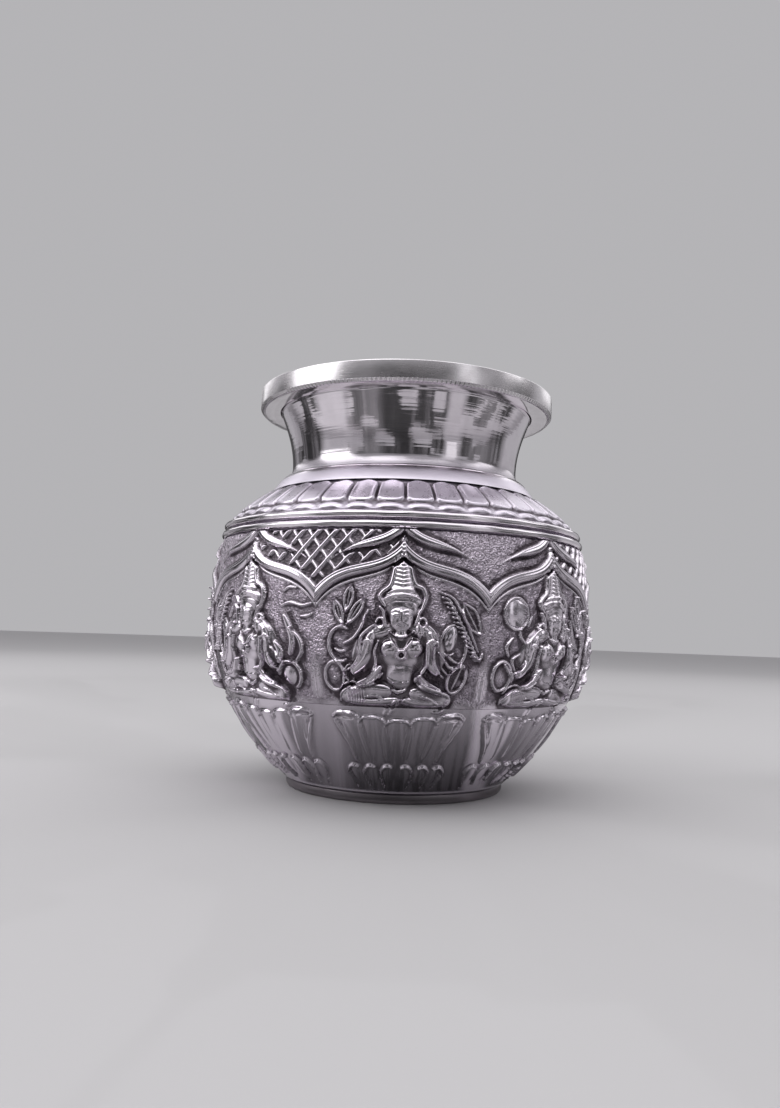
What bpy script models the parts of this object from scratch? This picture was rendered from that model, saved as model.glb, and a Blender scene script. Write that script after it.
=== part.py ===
"""Silver kalash pot: a round water pot with a flared mouth, a fluted shoulder, a belt of
eight arched niches with a seated figure in each, and lotus petals round the bowl.

Metres, +Z up. The pot stands on the origin, its axis is the Z axis, and the middle of
the first niche faces -Y. Every shell is thin sheet, and the shells are soldered together
where one laps behind the next.
"""

import math

import bmesh
import bpy

MM = 0.001
MERGE_DISTANCE = 0.01 * MM

# Sheet, solder joints and laps
WALL = 0.8 * MM
SEAT_GAP = 0.3 * MM
LAP = 3.4 * MM

# Foot and body
FOOT_RADIUS = 27.3 * MM
FOOT_HEIGHT = 2.2 * MM
FOOT_CORNER = 1.0 * MM
BOWL_EDGE_STEP = 0.6 * MM
BOWL_EDGE_SLOPE = 1.05
BOWL_HEIGHT = 20.1 * MM
BODY_RADIUS = 47.4 * MM
WIDEST_ABOVE_BOWL = 18.4 * MM
BELT_HEIGHT = 37.3 * MM
BELT_TOP_INSET = 1.8 * MM
BELT_TOP_SLOPE = -0.25

# Ridge wires round the top of the belt
WIRE_RADIUS = 0.85 * MM
WIRE_SPACING = 0.5 * MM

# Fluted shoulder
EAVE_OVERHANG = 0.4 * MM
EAVE_DROP = 0.5 * MM
SHOULDER_RISE = 8.1 * MM
SHOULDER_TOP_WIDTH = 2.35 * MM
SHOULDER_TOP_RISE = 0.9 * MM
SHOULDER_LIP = 1.1 * MM
FLUTE_HEIGHT = 0.75 * MM
FLUTE_END = 1.4 * MM

# Collar, neck and rim
COLLAR_EDGE = 0.5 * MM
COLLAR_HEIGHT = 2.3 * MM
THROAT_RADIUS = 29.1 * MM
THROAT_ABOVE_COLLAR = 2.7 * MM
NECK_FOOT_FLARE = 0.85 * MM
NECK_FOOT_SLOPE = -0.6
NECK_LAP = 2.2 * MM
NECK_HEIGHT = 14.2 * MM
NECK_TOP_FLARE = 3.5 * MM
NECK_TOP_SLOPE = 0.45
MOUTH_LIP = 0.5 * MM
RIM_OVERHANG = 5.4 * MM
RIM_HEIGHT = 4.9 * MM

# Belt of niches
NICHES = 8
ARCH_APEX_ABOVE_VALLEY = 10.2 * MM
ARCH_VALLEY_ABOVE_BELT = 23.1 * MM
ARCH_SHOULDER = 5.3 * MM
ARCH_SPIRE_WIDTH = 4.1 * MM
ARCH_SHOULDER_POWER = 4.5
ARCH_BAND_WIDTH = 2.3 * MM
ARCH_BAND_HEIGHT = 0.7 * MM
ARCH_BAND_BEVEL = 0.35 * MM

# Lotus petals round the bowl
PETALS_PER_NICHE = 5
PETAL_HEIGHT = 0.9 * MM
PETAL_TIP = 3.6 * MM
PETAL_TAPER = 0.78
LOTUS_HEIGHT = 0.7 * MM
LOTUS_LENGTH = 6.4 * MM
LOTUS_TIP = 1.4 * MM
LOTUS_FOOT_SHARE = 0.33
LOTUS_FOOT_WEIGHT = 0.8

# Facets round each turned shape
TURN_STEPS = 64
FLUTES_PER_NICHE = 5
FLUTE_FACETS = 3
PANEL_COLUMNS = 18
PANEL_ROWS_UNDER_ARCH = 11
COLUMN_CROWDING = 0.8
NECK_ROWS = 5
WIRE_FACETS = 5

# The forms of a seated figure and of what it holds. Each has its middle across and above
# the belt's edge, half its length and half its width, all as shares of the figure's
# height, then how many degrees it leans, and its relief as a share of the figure's relief.
FIGURE_TALL = 36.0 * MM
FIGURE_RELIEF = 2.1 * MM
FIGURE_FORMS = {
    "lap": (0.0, 0.07, 0.38, 0.1, 0, 0.5),
    "left_thigh": (-0.2, 0.08, 0.2, 0.075, 7, 0.9),
    "right_thigh": (0.185, 0.073, 0.185, 0.073, -7, 0.9),
    "waist": (0.0, 0.21, 0.11, 0.15, 0, 0.72),
    "chest": (0.005, 0.325, 0.14, 0.12, 0, 0.95),
    "left_shoulder": (-0.14, 0.42, 0.1, 0.06, 28, 0.72),
    "right_shoulder": (0.137, 0.436, 0.1, 0.06, -30, 0.72),
    "left_upper_arm": (-0.195, 0.35, 0.12, 0.06, 82, 0.92),
    "right_upper_arm": (0.185, 0.355, 0.12, 0.06, 92, 0.92),
    "left_elbow": (-0.24, 0.25, 0.1, 0.055, 55, 0.82),
    "right_elbow": (0.195, 0.25, 0.09, 0.055, 100, 0.82),
    "left_forearm": (-0.175, 0.17, 0.12, 0.05, 32, 1.0),
    "right_forearm": (0.17, 0.152, 0.12, 0.05, -30, 1.0),
    "hair": (0.0, 0.615, 0.135, 0.09, 0, 0.75),
    "head": (0.0, 0.52, 0.105, 0.11, 0, 0.95),
    "crown": (0.0, 0.79, 0.25, 0.08, 90, 0.78),
    "left_leaves": (-0.33, 0.585, 0.13, 0.08, 80, 0.36),
    "left_stem": (-0.345, 0.36, 0.1, 0.085, 90, 0.32),
    "left_disc": (-0.392, 0.175, 0.1, 0.075, 90, 0.32),
    "right_plume": (0.35, 0.5, 0.19, 0.065, -62, 0.36),
    "right_leaf": (0.34, 0.175, 0.1, 0.07, 75, 0.32),
}

# Heights, stacked from the foot up
BOWL_START_Z = FOOT_HEIGHT + SEAT_GAP
BOWL_TOP_Z = BOWL_START_Z + BOWL_HEIGHT
BELT_BOTTOM_Z = BOWL_TOP_Z + SEAT_GAP
WIDEST_Z = BOWL_TOP_Z + WIDEST_ABOVE_BOWL
BELT_TOP_Z = BELT_BOTTOM_Z + BELT_HEIGHT
LOWER_WIRE_Z = BELT_TOP_Z + SEAT_GAP + WIRE_RADIUS
UPPER_WIRE_Z = LOWER_WIRE_Z + 2 * WIRE_RADIUS + WIRE_SPACING
EAVE_Z = UPPER_WIRE_Z + WIRE_RADIUS + WIRE_SPACING
SHOULDER_TOP_Z = EAVE_Z + SHOULDER_RISE
LIP_BASE_Z = SHOULDER_TOP_Z + SHOULDER_TOP_RISE
LIP_TOP_Z = LIP_BASE_Z + SHOULDER_LIP
COLLAR_TOP_Z = LIP_TOP_Z + COLLAR_HEIGHT
THROAT_Z = COLLAR_TOP_Z + THROAT_ABOVE_COLLAR
NECK_TOP_Z = THROAT_Z + NECK_HEIGHT
RIM_BOTTOM_Z = NECK_TOP_Z + SEAT_GAP
RIM_TOP_Z = RIM_BOTTOM_Z + RIM_HEIGHT

# Radii and angles that follow from the sizes above
BOWL_EDGE_RADIUS = FOOT_RADIUS + BOWL_EDGE_STEP
BELT_TOP_RADIUS = BODY_RADIUS - BELT_TOP_INSET
NECK_FOOT_RADIUS = THROAT_RADIUS + NECK_FOOT_FLARE
NECK_TOP_RADIUS = THROAT_RADIUS + NECK_TOP_FLARE
RIM_RADIUS = NECK_TOP_RADIUS + RIM_OVERHANG
LIP_RADIUS = NECK_FOOT_RADIUS + SEAT_GAP + WALL
SHOULDER_TOP_RADIUS = LIP_RADIUS + SHOULDER_TOP_WIDTH
NICHE_ANGLE = 2 * math.pi / NICHES
PETAL_ANGLE = NICHE_ANGLE / (PETALS_PER_NICHE + 1)

# Colours, roughnesses, and the angles past which an edge stays crisp
SILVER = (0.80, 0.79, 0.82, 1.0)
MATTED_SILVER = (0.66, 0.64, 0.68, 1.0)
BRIGHT_ROUGHNESS = 0.14
POLISHED_ROUGHNESS = 0.18
MATTED_ROUGHNESS = 0.32
CRISP_EDGE = math.radians(40)
CRISP_FLUTE = math.radians(50)
CRISP_RELIEF = math.radians(75)


def curve_between(z, low, high):
    """Radius at height z on a smooth curve through two (height, radius, slope) stations."""
    span = high[0] - low[0]
    t = (z - low[0]) / span
    start = (2 * t**3 - 3 * t**2 + 1) * low[1] + (t**3 - 2 * t**2 + t) * span * low[2]
    end = (3 * t**2 - 2 * t**3) * high[1] + (t**3 - t**2) * span * high[2]
    return start + end


def wall_radius(z):
    """Outer radius of the plain body, from the foot up to the shoulder's eave."""
    widest = (WIDEST_Z, BODY_RADIUS, 0.0)
    if z <= WIDEST_Z:
        return curve_between(z, (BOWL_START_Z, BOWL_EDGE_RADIUS, BOWL_EDGE_SLOPE), widest)
    if z <= BELT_TOP_Z:
        return curve_between(z, widest, (BELT_TOP_Z, BELT_TOP_RADIUS, BELT_TOP_SLOPE))
    return BELT_TOP_RADIUS + BELT_TOP_SLOPE * (z - BELT_TOP_Z)


def lap_radius(z):
    """Outer radius of a sheet that lies behind the belt."""
    return wall_radius(z) - WALL - SEAT_GAP


def neck_radius(z):
    """Outer radius of the neck between its foot and its top."""
    throat = (THROAT_Z, THROAT_RADIUS, 0.0)
    if z <= THROAT_Z:
        return curve_between(z, (COLLAR_TOP_Z, NECK_FOOT_RADIUS, NECK_FOOT_SLOPE), throat)
    return curve_between(z, throat, (NECK_TOP_Z, NECK_TOP_RADIUS, NECK_TOP_SLOPE))


def arch_height(angle):
    """Height of the arch's middle line, at an angle from the middle of its niche."""
    share = min(1.0, abs(angle) / (NICHE_ANGLE / 2))
    spire = ARCH_APEX_ABOVE_VALLEY - ARCH_SHOULDER
    across = abs(angle) * BODY_RADIUS
    rise = ARCH_SHOULDER * (1 - share**ARCH_SHOULDER_POWER)
    rise += spire * math.exp(-across / ARCH_SPIRE_WIDTH)
    return BELT_BOTTOM_Z + ARCH_VALLEY_ABOVE_BELT + rise


def figure_relief(angle, z):
    """How far the seated figure stands out of the sheet at a point of its niche."""
    across = angle * BODY_RADIUS / FIGURE_TALL
    up = (z - BELT_BOTTOM_Z) / FIGURE_TALL
    heights = [0.0]
    for middle, level, half_length, half_width, lean, height in FIGURE_FORMS.values():
        cos, sin = math.cos(math.radians(lean)), math.sin(math.radians(lean))
        along = ((across - middle) * cos + (up - level) * sin) / half_length
        beside = ((up - level) * cos - (across - middle) * sin) / half_width
        heights.append(FIGURE_RELIEF * height * (1 - along**2 - beside**2))
    return max(heights)


def silver(name, color, roughness):
    """A polished or matted silver for one piece."""
    material = bpy.data.materials.new(name)
    material.use_nodes = True
    shader = material.node_tree.nodes["Principled BSDF"]
    shader.inputs["Base Color"].default_value = color
    shader.inputs["Metallic"].default_value = 1.0
    shader.inputs["Roughness"].default_value = roughness
    return material


def finished(name, mesh, color=SILVER, roughness=POLISHED_ROUGHNESS, crisp=CRISP_EDGE):
    """One named object of the pot, shaded smooth, with its own silver."""
    mesh.shade_smooth()
    mesh.set_sharp_from_angle(angle=crisp)
    mesh.materials.append(silver(name + "_silver", color, roughness))
    piece = bpy.data.objects.new(name, mesh)
    bpy.data.collections["kalash_pot"].objects.link(piece)
    return piece


def mesh_from(bm, name):
    """The mesh that a bmesh holds, under a name. The bmesh is used up."""
    mesh = bpy.data.meshes.new(name)
    bm.to_mesh(mesh)
    bm.free()
    return mesh


def profile_mesh(name, points, closed):
    """A profile in the XZ plane, as a chain of edges through (radius, height) points."""
    bm = bmesh.new()
    verts = [bm.verts.new((radius, 0.0, z)) for radius, z in points]
    for first, second in zip(verts, verts[1:]):
        bm.edges.new((first, second))
    if closed:
        bm.edges.new((verts[-1], verts[0]))
    return mesh_from(bm, name)


def turned(name, points, closed=False, steps=TURN_STEPS):
    """A piece turned about the Z axis from a profile that runs down its outer side."""
    piece = finished(name, profile_mesh(name, points, closed))
    screw = piece.modifiers.new("turn", "SCREW")
    screw.axis = "Z"
    screw.steps = steps
    screw.render_steps = steps
    screw.use_merge_vertices = True
    screw.merge_threshold = MERGE_DISTANCE
    if closed:
        shade_flat_bands(piece)
    return piece


def shade_flat_bands(piece):
    """Shades the wide faces of a piece as they lie, and rounds only its narrow corners."""
    piece.modifiers.new("shading", "WEIGHTED_NORMAL")


def sheet_thickness(piece):
    """Gives an open surface the thickness of the sheet, on its inner side."""
    solidify = piece.modifiers.new("sheet", "SOLIDIFY")
    solidify.thickness = WALL
    solidify.offset = -1
    solidify.use_even_offset = True
    shade_flat_bands(piece)


def spun_surface(points, steps):
    """An open surface spun about the Z axis, with its first column facing -Y."""
    bm = bmesh.new()
    verts = [bm.verts.new((0.0, -radius, z)) for radius, z in points]
    edges = [bm.edges.new(pair) for pair in zip(verts, verts[1:])]
    bmesh.ops.spin(
        bm, geom=verts + edges, axis=(0, 0, 1), angle=2 * math.pi, steps=steps, use_merge=True
    )
    bmesh.ops.remove_doubles(bm, verts=bm.verts, dist=MERGE_DISTANCE)
    turn_outwards(bm)
    return bm


def turn_outwards(bm):
    """Turns every face of a spun surface so that it looks away from the pot's axis."""
    bmesh.ops.recalc_face_normals(bm, faces=bm.faces)
    outer = max(bm.faces, key=lambda face: face.calc_center_median().xy.length)
    if outer.normal.xy.dot(outer.calc_center_median().xy) < 0:
        bmesh.ops.reverse_faces(bm, faces=bm.faces)
    bm.normal_update()


def angle_round_axis(point):
    """Angle of a point round the pot's axis, from -Y towards +X."""
    return math.atan2(point.x, -point.y)


def angle_in_niche(angle):
    """The same angle, measured from the middle of the nearest niche."""
    return angle - NICHE_ANGLE * round(angle / NICHE_ANGLE)


def make_base_plate():
    """The flat foot: a pressed disc whose edge turns up round the bowl's lip."""
    corner = [
        (
            FOOT_RADIUS - FOOT_CORNER * (1 - math.cos(turn)),
            FOOT_CORNER * (1 - math.sin(turn)),
        )
        for turn in (0.0, math.pi / 4, math.pi / 2)
    ]
    inside = FOOT_RADIUS - WALL
    points = [(0.0, WALL), (inside, WALL), (inside, FOOT_HEIGHT), (FOOT_RADIUS, FOOT_HEIGHT)]
    shade_flat_bands(turned("base_plate", points + corner + [(0.0, 0.0)]))


def petal_rows():
    """Height, throne petal weight and small petal weight of each row of the bowl."""
    lotus_top = BOWL_START_Z + LOTUS_LENGTH
    return [
        (BOWL_TOP_Z, 0.0, 0.0),
        (BOWL_TOP_Z - PETAL_TIP, 1.0, 0.0),
        (lotus_top + LOTUS_TIP, 0.0, 0.0),
        (lotus_top, 0.0, 1.0),
        (BOWL_START_Z + LOTUS_LENGTH * LOTUS_FOOT_SHARE, 0.0, LOTUS_FOOT_WEIGHT),
        (BOWL_START_Z, 0.0, 0.0),
    ]


def tapered(angle, z):
    """Draws a petal's angle in towards the middle of its niche, more so further down."""
    edge = PETAL_ANGLE * PETALS_PER_NICHE / 2
    share = min(1.0, max(0.0, (BOWL_TOP_Z - z) / (BOWL_HEIGHT - LOTUS_LENGTH)))
    scale = 1 - (1 - PETAL_TAPER) * share
    if abs(angle) <= edge:
        return angle * scale
    rest = NICHE_ANGLE / 2 - edge
    beyond = (abs(angle) - edge) / rest
    return math.copysign(edge * scale + (NICHE_ANGLE / 2 - edge * scale) * beyond, angle)


def make_petal_bowl():
    """The lower bowl: large petals under each figure, and a small lotus under those."""
    rows = petal_rows()
    lip = FOOT_RADIUS - WALL - SEAT_GAP
    lap_top = BELT_BOTTOM_Z + LAP
    points = [(lap_radius(lap_top), lap_top), (lap_radius(BELT_BOTTOM_Z), BOWL_TOP_Z)]
    points += [(wall_radius(z), z) for z, throne, lotus in rows]
    points += [(lip, BOWL_START_Z), (lip, WALL + SEAT_GAP)]
    columns = NICHES * 2 * (PETALS_PER_NICHE + 1)
    bm = spun_surface(points, columns)
    weights = {round(z, 6): (throne, lotus) for z, throne, lotus in rows[1:-1]}
    moves = {}
    for vert in bm.verts:
        if round(vert.co.z, 6) not in weights:
            continue
        throne, lotus = weights[round(vert.co.z, 6)]
        angle = angle_round_axis(vert.co)
        inside = angle_in_niche(angle)
        wave = math.cos(math.pi * inside / PETAL_ANGLE) ** 2
        in_throne = abs(inside) < PETAL_ANGLE * PETALS_PER_NICHE / 2
        relief = PETAL_HEIGHT * throne * wave * in_throne + LOTUS_HEIGHT * lotus * (1 - wave)
        moves[vert] = (angle + tapered(inside, vert.co.z) - inside, vert.normal * relief)
    for vert, (angle, shift) in moves.items():
        radius = vert.co.xy.length + shift.xy.length
        vert.co.x = radius * math.sin(angle)
        vert.co.y = -radius * math.cos(angle)
        vert.co.z += shift.z
    bowl = mesh_from(bm, "petal_bowl")
    sheet_thickness(finished("petal_bowl", bowl, roughness=BRIGHT_ROUGHNESS))


def panel_heights(angle):
    """Heights of a panel's rows at an angle: they bend to follow the arch above them."""
    arch = arch_height(angle)
    band_bottom = arch - ARCH_BAND_WIDTH / 2
    band_top = arch + ARCH_BAND_WIDTH / 2
    step = (band_bottom - BELT_BOTTOM_Z) / PANEL_ROWS_UNDER_ARCH
    heights = [BELT_BOTTOM_Z + step * row for row in range(PANEL_ROWS_UNDER_ARCH)]
    heights += [band_bottom, band_bottom + ARCH_BAND_BEVEL]
    heights += [band_top - ARCH_BAND_BEVEL, band_top]
    return heights + [(band_top + BELT_TOP_Z) / 2, BELT_TOP_Z]


def panel_mesh():
    """One struck panel: a sheet wrapped round the body, with an arch and a figure raised.

    Its columns crowd together in the middle, where the figure is.
    """
    half_angle = NICHE_ANGLE / 2 - SEAT_GAP / (2 * lap_radius(BELT_TOP_Z))
    rows = len(panel_heights(0.0)) - 1
    crest = (PANEL_ROWS_UNDER_ARCH + 1, PANEL_ROWS_UNDER_ARCH + 2)
    bm = bmesh.new()
    bmesh.ops.create_grid(bm, x_segments=PANEL_COLUMNS, y_segments=rows, size=1.0)
    for vert in bm.verts:
        crowded = COLUMN_CROWDING * vert.co.x + (1 - COLUMN_CROWDING) * vert.co.x**3
        angle = crowded * half_angle
        row = round((vert.co.y + 1) / 2 * rows)
        z = panel_heights(angle)[row]
        at_edge = row in (0, rows) or abs(vert.co.x) > 1 - 1 / PANEL_COLUMNS
        relief = 0.0 if at_edge else figure_relief(angle, z)
        if row in crest:
            relief = max(relief, ARCH_BAND_HEIGHT)
        radius = wall_radius(z) + relief
        vert.co = (radius * math.sin(angle), -radius * math.cos(angle), z)
    back = bmesh.ops.extrude_face_region(bm, geom=bm.faces[:], use_keep_orig=True)
    for vert in back["geom"]:
        if isinstance(vert, bmesh.types.BMVert):
            radius = vert.co.xy.length
            vert.co.xy *= (radius - WALL) / radius
    bmesh.ops.recalc_face_normals(bm, faces=bm.faces)
    return mesh_from(bm, "niche_panel")


def make_niche_panels():
    """Eight struck panels, soldered side to side round the body."""
    struck = panel_mesh()
    for number in range(NICHES):
        name = f"niche_panel_{number + 1}"
        panel = finished(name, struck.copy(), MATTED_SILVER, MATTED_ROUGHNESS, CRISP_RELIEF)
        panel.rotation_euler.z = number * NICHE_ANGLE


def make_ridge_wires():
    """Two round wires, soldered one above the other on the shoulder's skirt."""
    for name, z in (("ridge_wire_lower", LOWER_WIRE_Z), ("ridge_wire_upper", UPPER_WIRE_Z)):
        middle = lap_radius(z) + SEAT_GAP + WIRE_RADIUS
        turns = [-2 * math.pi * step / WIRE_FACETS for step in range(WIRE_FACETS)]
        points = [
            (middle + WIRE_RADIUS * math.cos(turn), z + WIRE_RADIUS * math.sin(turn))
            for turn in turns
        ]
        turned(name, points, closed=True)


def flute_wave(angle):
    """1 over the crest of a flute and 0 in the valleys between flutes."""
    flute_angle = NICHE_ANGLE / FLUTES_PER_NICHE
    away = abs(angle / flute_angle - round(angle / flute_angle)) * 2
    return min(1.0, away * FLUTE_FACETS / 2)


def shoulder_profile():
    """The shoulder's profile from lip to skirt, with the flutes' weight at each point."""
    eave_radius = lap_radius(EAVE_Z) + EAVE_OVERHANG
    slope_length = math.hypot(eave_radius - SHOULDER_TOP_RADIUS, SHOULDER_RISE)
    share = FLUTE_END / slope_length
    run = (eave_radius - SHOULDER_TOP_RADIUS) * share
    drop = SHOULDER_RISE * share
    skirt_top = EAVE_Z - EAVE_DROP
    skirt_bottom = BELT_TOP_Z - LAP
    return [
        (LIP_RADIUS, LIP_TOP_Z, 0.0),
        (LIP_RADIUS, LIP_BASE_Z, 0.0),
        (SHOULDER_TOP_RADIUS, SHOULDER_TOP_Z, 0.0),
        (SHOULDER_TOP_RADIUS + run, SHOULDER_TOP_Z - drop, 1.0),
        (eave_radius - run, EAVE_Z + drop, 1.0),
        (eave_radius, EAVE_Z, 0.0),
        (lap_radius(skirt_top), skirt_top, 0.0),
        (lap_radius(skirt_bottom), skirt_bottom, 0.0),
    ]


def make_shoulder():
    """The fluted shoulder, with a lip behind the collar and a skirt behind the belt."""
    profile = shoulder_profile()
    points = [(radius, z) for radius, z, weight in profile]
    bm = spun_surface(points, NICHES * FLUTES_PER_NICHE * FLUTE_FACETS)
    fluted = {round(z, 6) for radius, z, weight in profile if weight}
    moves = {}
    for vert in bm.verts:
        if round(vert.co.z, 6) in fluted:
            relief = FLUTE_HEIGHT * flute_wave(angle_round_axis(vert.co))
            moves[vert] = vert.normal * relief
    for vert, shift in moves.items():
        vert.co += shift
    sheet_thickness(finished("shoulder", mesh_from(bm, "shoulder"), crisp=CRISP_FLUTE))


def make_collar():
    """The plain sloped ring that sits on the shoulder's lip and covers the joint."""
    inside = NECK_FOOT_RADIUS + SEAT_GAP
    outside = SHOULDER_TOP_RADIUS + COLLAR_EDGE
    seat = LIP_TOP_Z + SEAT_GAP
    bottom_rise = SHOULDER_TOP_RISE * (WALL - COLLAR_EDGE) / SHOULDER_TOP_WIDTH
    bottom = SHOULDER_TOP_Z + SEAT_GAP + max(0.0, bottom_rise)
    points = [
        (inside, COLLAR_TOP_Z),
        (inside + COLLAR_EDGE, COLLAR_TOP_Z),
        (outside, bottom + COLLAR_EDGE),
        (outside, bottom),
        (outside - WALL, bottom),
        (LIP_RADIUS + SEAT_GAP, seat),
        (inside, seat),
    ]
    turned("neck_collar", points, closed=True)


def make_neck():
    """The spun neck: a lap inside the shoulder's lip, a waist, and a funnel to the mouth."""
    mouth = RIM_RADIUS - WALL - SEAT_GAP
    funnel_z = RIM_BOTTOM_Z + WALL + SEAT_GAP
    levels = [THROAT_Z + NECK_HEIGHT * row / NECK_ROWS for row in range(NECK_ROWS)]
    points = [(mouth, RIM_TOP_Z), (mouth, RIM_TOP_Z - MOUTH_LIP)]
    points += [(NECK_TOP_RADIUS, funnel_z), (NECK_TOP_RADIUS, NECK_TOP_Z)]
    points += [(neck_radius(z), z) for z in reversed(levels)]
    points += [(NECK_FOOT_RADIUS, COLLAR_TOP_Z), (NECK_FOOT_RADIUS, LIP_BASE_Z - NECK_LAP)]
    sheet_thickness(turned("neck", points))


def make_rim_band():
    """The flat band round the mouth, with a flange that closes it under the funnel."""
    inside = NECK_TOP_RADIUS + SEAT_GAP
    points = [
        (RIM_RADIUS - WALL, RIM_TOP_Z),
        (RIM_RADIUS, RIM_TOP_Z),
        (RIM_RADIUS, RIM_BOTTOM_Z),
        (inside, RIM_BOTTOM_Z),
        (inside, RIM_BOTTOM_Z + WALL),
        (RIM_RADIUS - WALL, RIM_BOTTOM_Z + WALL),
    ]
    turned("rim_band", points, closed=True)


def main():
    """Clears the scene and builds the pot from the foot up."""
    for leftover in list(bpy.data.objects):
        bpy.data.objects.remove(leftover)
    pot = bpy.data.collections.new("kalash_pot")
    bpy.context.scene.collection.children.link(pot)
    make_base_plate()
    make_petal_bowl()
    make_niche_panels()
    make_ridge_wires()
    make_shoulder()
    make_collar()
    make_neck()
    make_rim_band()


main()
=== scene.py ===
"""Looks of the silver kalash pot: struck relief, spun and polished sheet, studio and camera.

Lengths are millimetres until a mesh is written, which is in metres. A place on the wall is
given in degrees round the pot from the middle of a niche, and millimetres above the table.
"""

import logging
import math
from collections.abc import Callable, Sequence
from dataclasses import dataclass, field, replace
from enum import Enum

import bmesh
import bpy
import numpy as np
from mathutils import Matrix, Vector


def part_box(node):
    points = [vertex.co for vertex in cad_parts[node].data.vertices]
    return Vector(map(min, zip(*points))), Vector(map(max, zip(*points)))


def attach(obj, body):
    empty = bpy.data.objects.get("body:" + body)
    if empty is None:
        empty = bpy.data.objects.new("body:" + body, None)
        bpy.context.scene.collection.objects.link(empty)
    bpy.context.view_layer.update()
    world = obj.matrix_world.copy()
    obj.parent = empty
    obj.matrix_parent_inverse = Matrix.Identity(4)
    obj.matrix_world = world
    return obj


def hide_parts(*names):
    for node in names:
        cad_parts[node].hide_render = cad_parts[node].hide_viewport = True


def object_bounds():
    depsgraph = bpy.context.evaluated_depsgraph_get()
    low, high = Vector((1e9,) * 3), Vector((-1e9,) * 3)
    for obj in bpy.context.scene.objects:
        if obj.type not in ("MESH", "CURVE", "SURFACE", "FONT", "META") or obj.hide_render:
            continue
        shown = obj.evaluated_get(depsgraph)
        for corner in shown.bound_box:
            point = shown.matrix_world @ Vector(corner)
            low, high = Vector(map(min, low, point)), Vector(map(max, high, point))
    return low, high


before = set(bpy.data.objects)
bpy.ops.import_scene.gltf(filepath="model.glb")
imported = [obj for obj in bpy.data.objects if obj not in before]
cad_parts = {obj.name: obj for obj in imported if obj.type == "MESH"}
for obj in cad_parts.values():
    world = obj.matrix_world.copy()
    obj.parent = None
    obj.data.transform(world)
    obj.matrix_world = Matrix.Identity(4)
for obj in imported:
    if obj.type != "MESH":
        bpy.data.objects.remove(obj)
CAD_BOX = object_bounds()

log = logging.getLogger("kalash_pot")

MM = 0.001
NICHES = 8
NICHE_DEGREES = 360 / NICHES
FLUTES = 40
BODY_RADIUS = 47.4
MM_PER_DEGREE = math.radians(BODY_RADIUS)
CRISP_CORNER = math.radians(80)
NEARLY_ZERO = 1e-9

Point = tuple[float, float]
Profile = Sequence[Point]
Color = tuple[float, float, float, float]
Socket = bpy.types.NodeSocket
HeightAt = Callable[[np.ndarray, np.ndarray], np.ndarray]


class Slot(Enum):
    """The record's material slots."""

    POLISHED = "polished_silver"
    MATTED = "matted_silver"
    TURNED = "turned_silver"
    BRUSHED = "brushed_silver"


class Join(Enum):
    """How a form of relief meets what is struck under it."""

    FUSE = "rises from the ground and melts into its neighbours"
    ADD = "lies on top of whatever is there"


class Attributes(Enum):
    """What a mesh tells its finish about each of its points."""

    # How far each point is sunk, plus painted shade; the finish darkens its colour by it.
    RECESS = "recess"
    MATTING = "matting"


def smoothstep(value: np.ndarray, low: float, high: float) -> np.ndarray:
    """A smooth rise from 0 at low to 1 at high."""
    t = np.clip((value - low) / (high - low), 0, 1)
    return t * t * (3 - 2 * t)


def curve_between(z: np.ndarray, low: Sequence[float], high: Sequence[float]) -> np.ndarray:
    """Radius on a smooth curve through two stations.

    Args:
        z: levels to read the curve at.
        low: level, radius and slope of the lower station.
        high: level, radius and slope of the upper station.

    Returns:
        The radius at each level.
    """
    span = high[0] - low[0]
    t = (z - low[0]) / span
    start = (2 * t**3 - 3 * t**2 + 1) * low[1] + (t**3 - 2 * t**2 + t) * span * low[2]
    end = (3 * t**2 - 2 * t**3) * high[1] + (t**3 - t**2) * span * high[2]
    return start + end


def reach(node: str) -> tuple[float, float, float]:
    """Outer radius, lowest level and highest level of a turned node of the frame."""
    low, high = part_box(node)
    return high.x / MM, low.z / MM, high.z / MM


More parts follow.
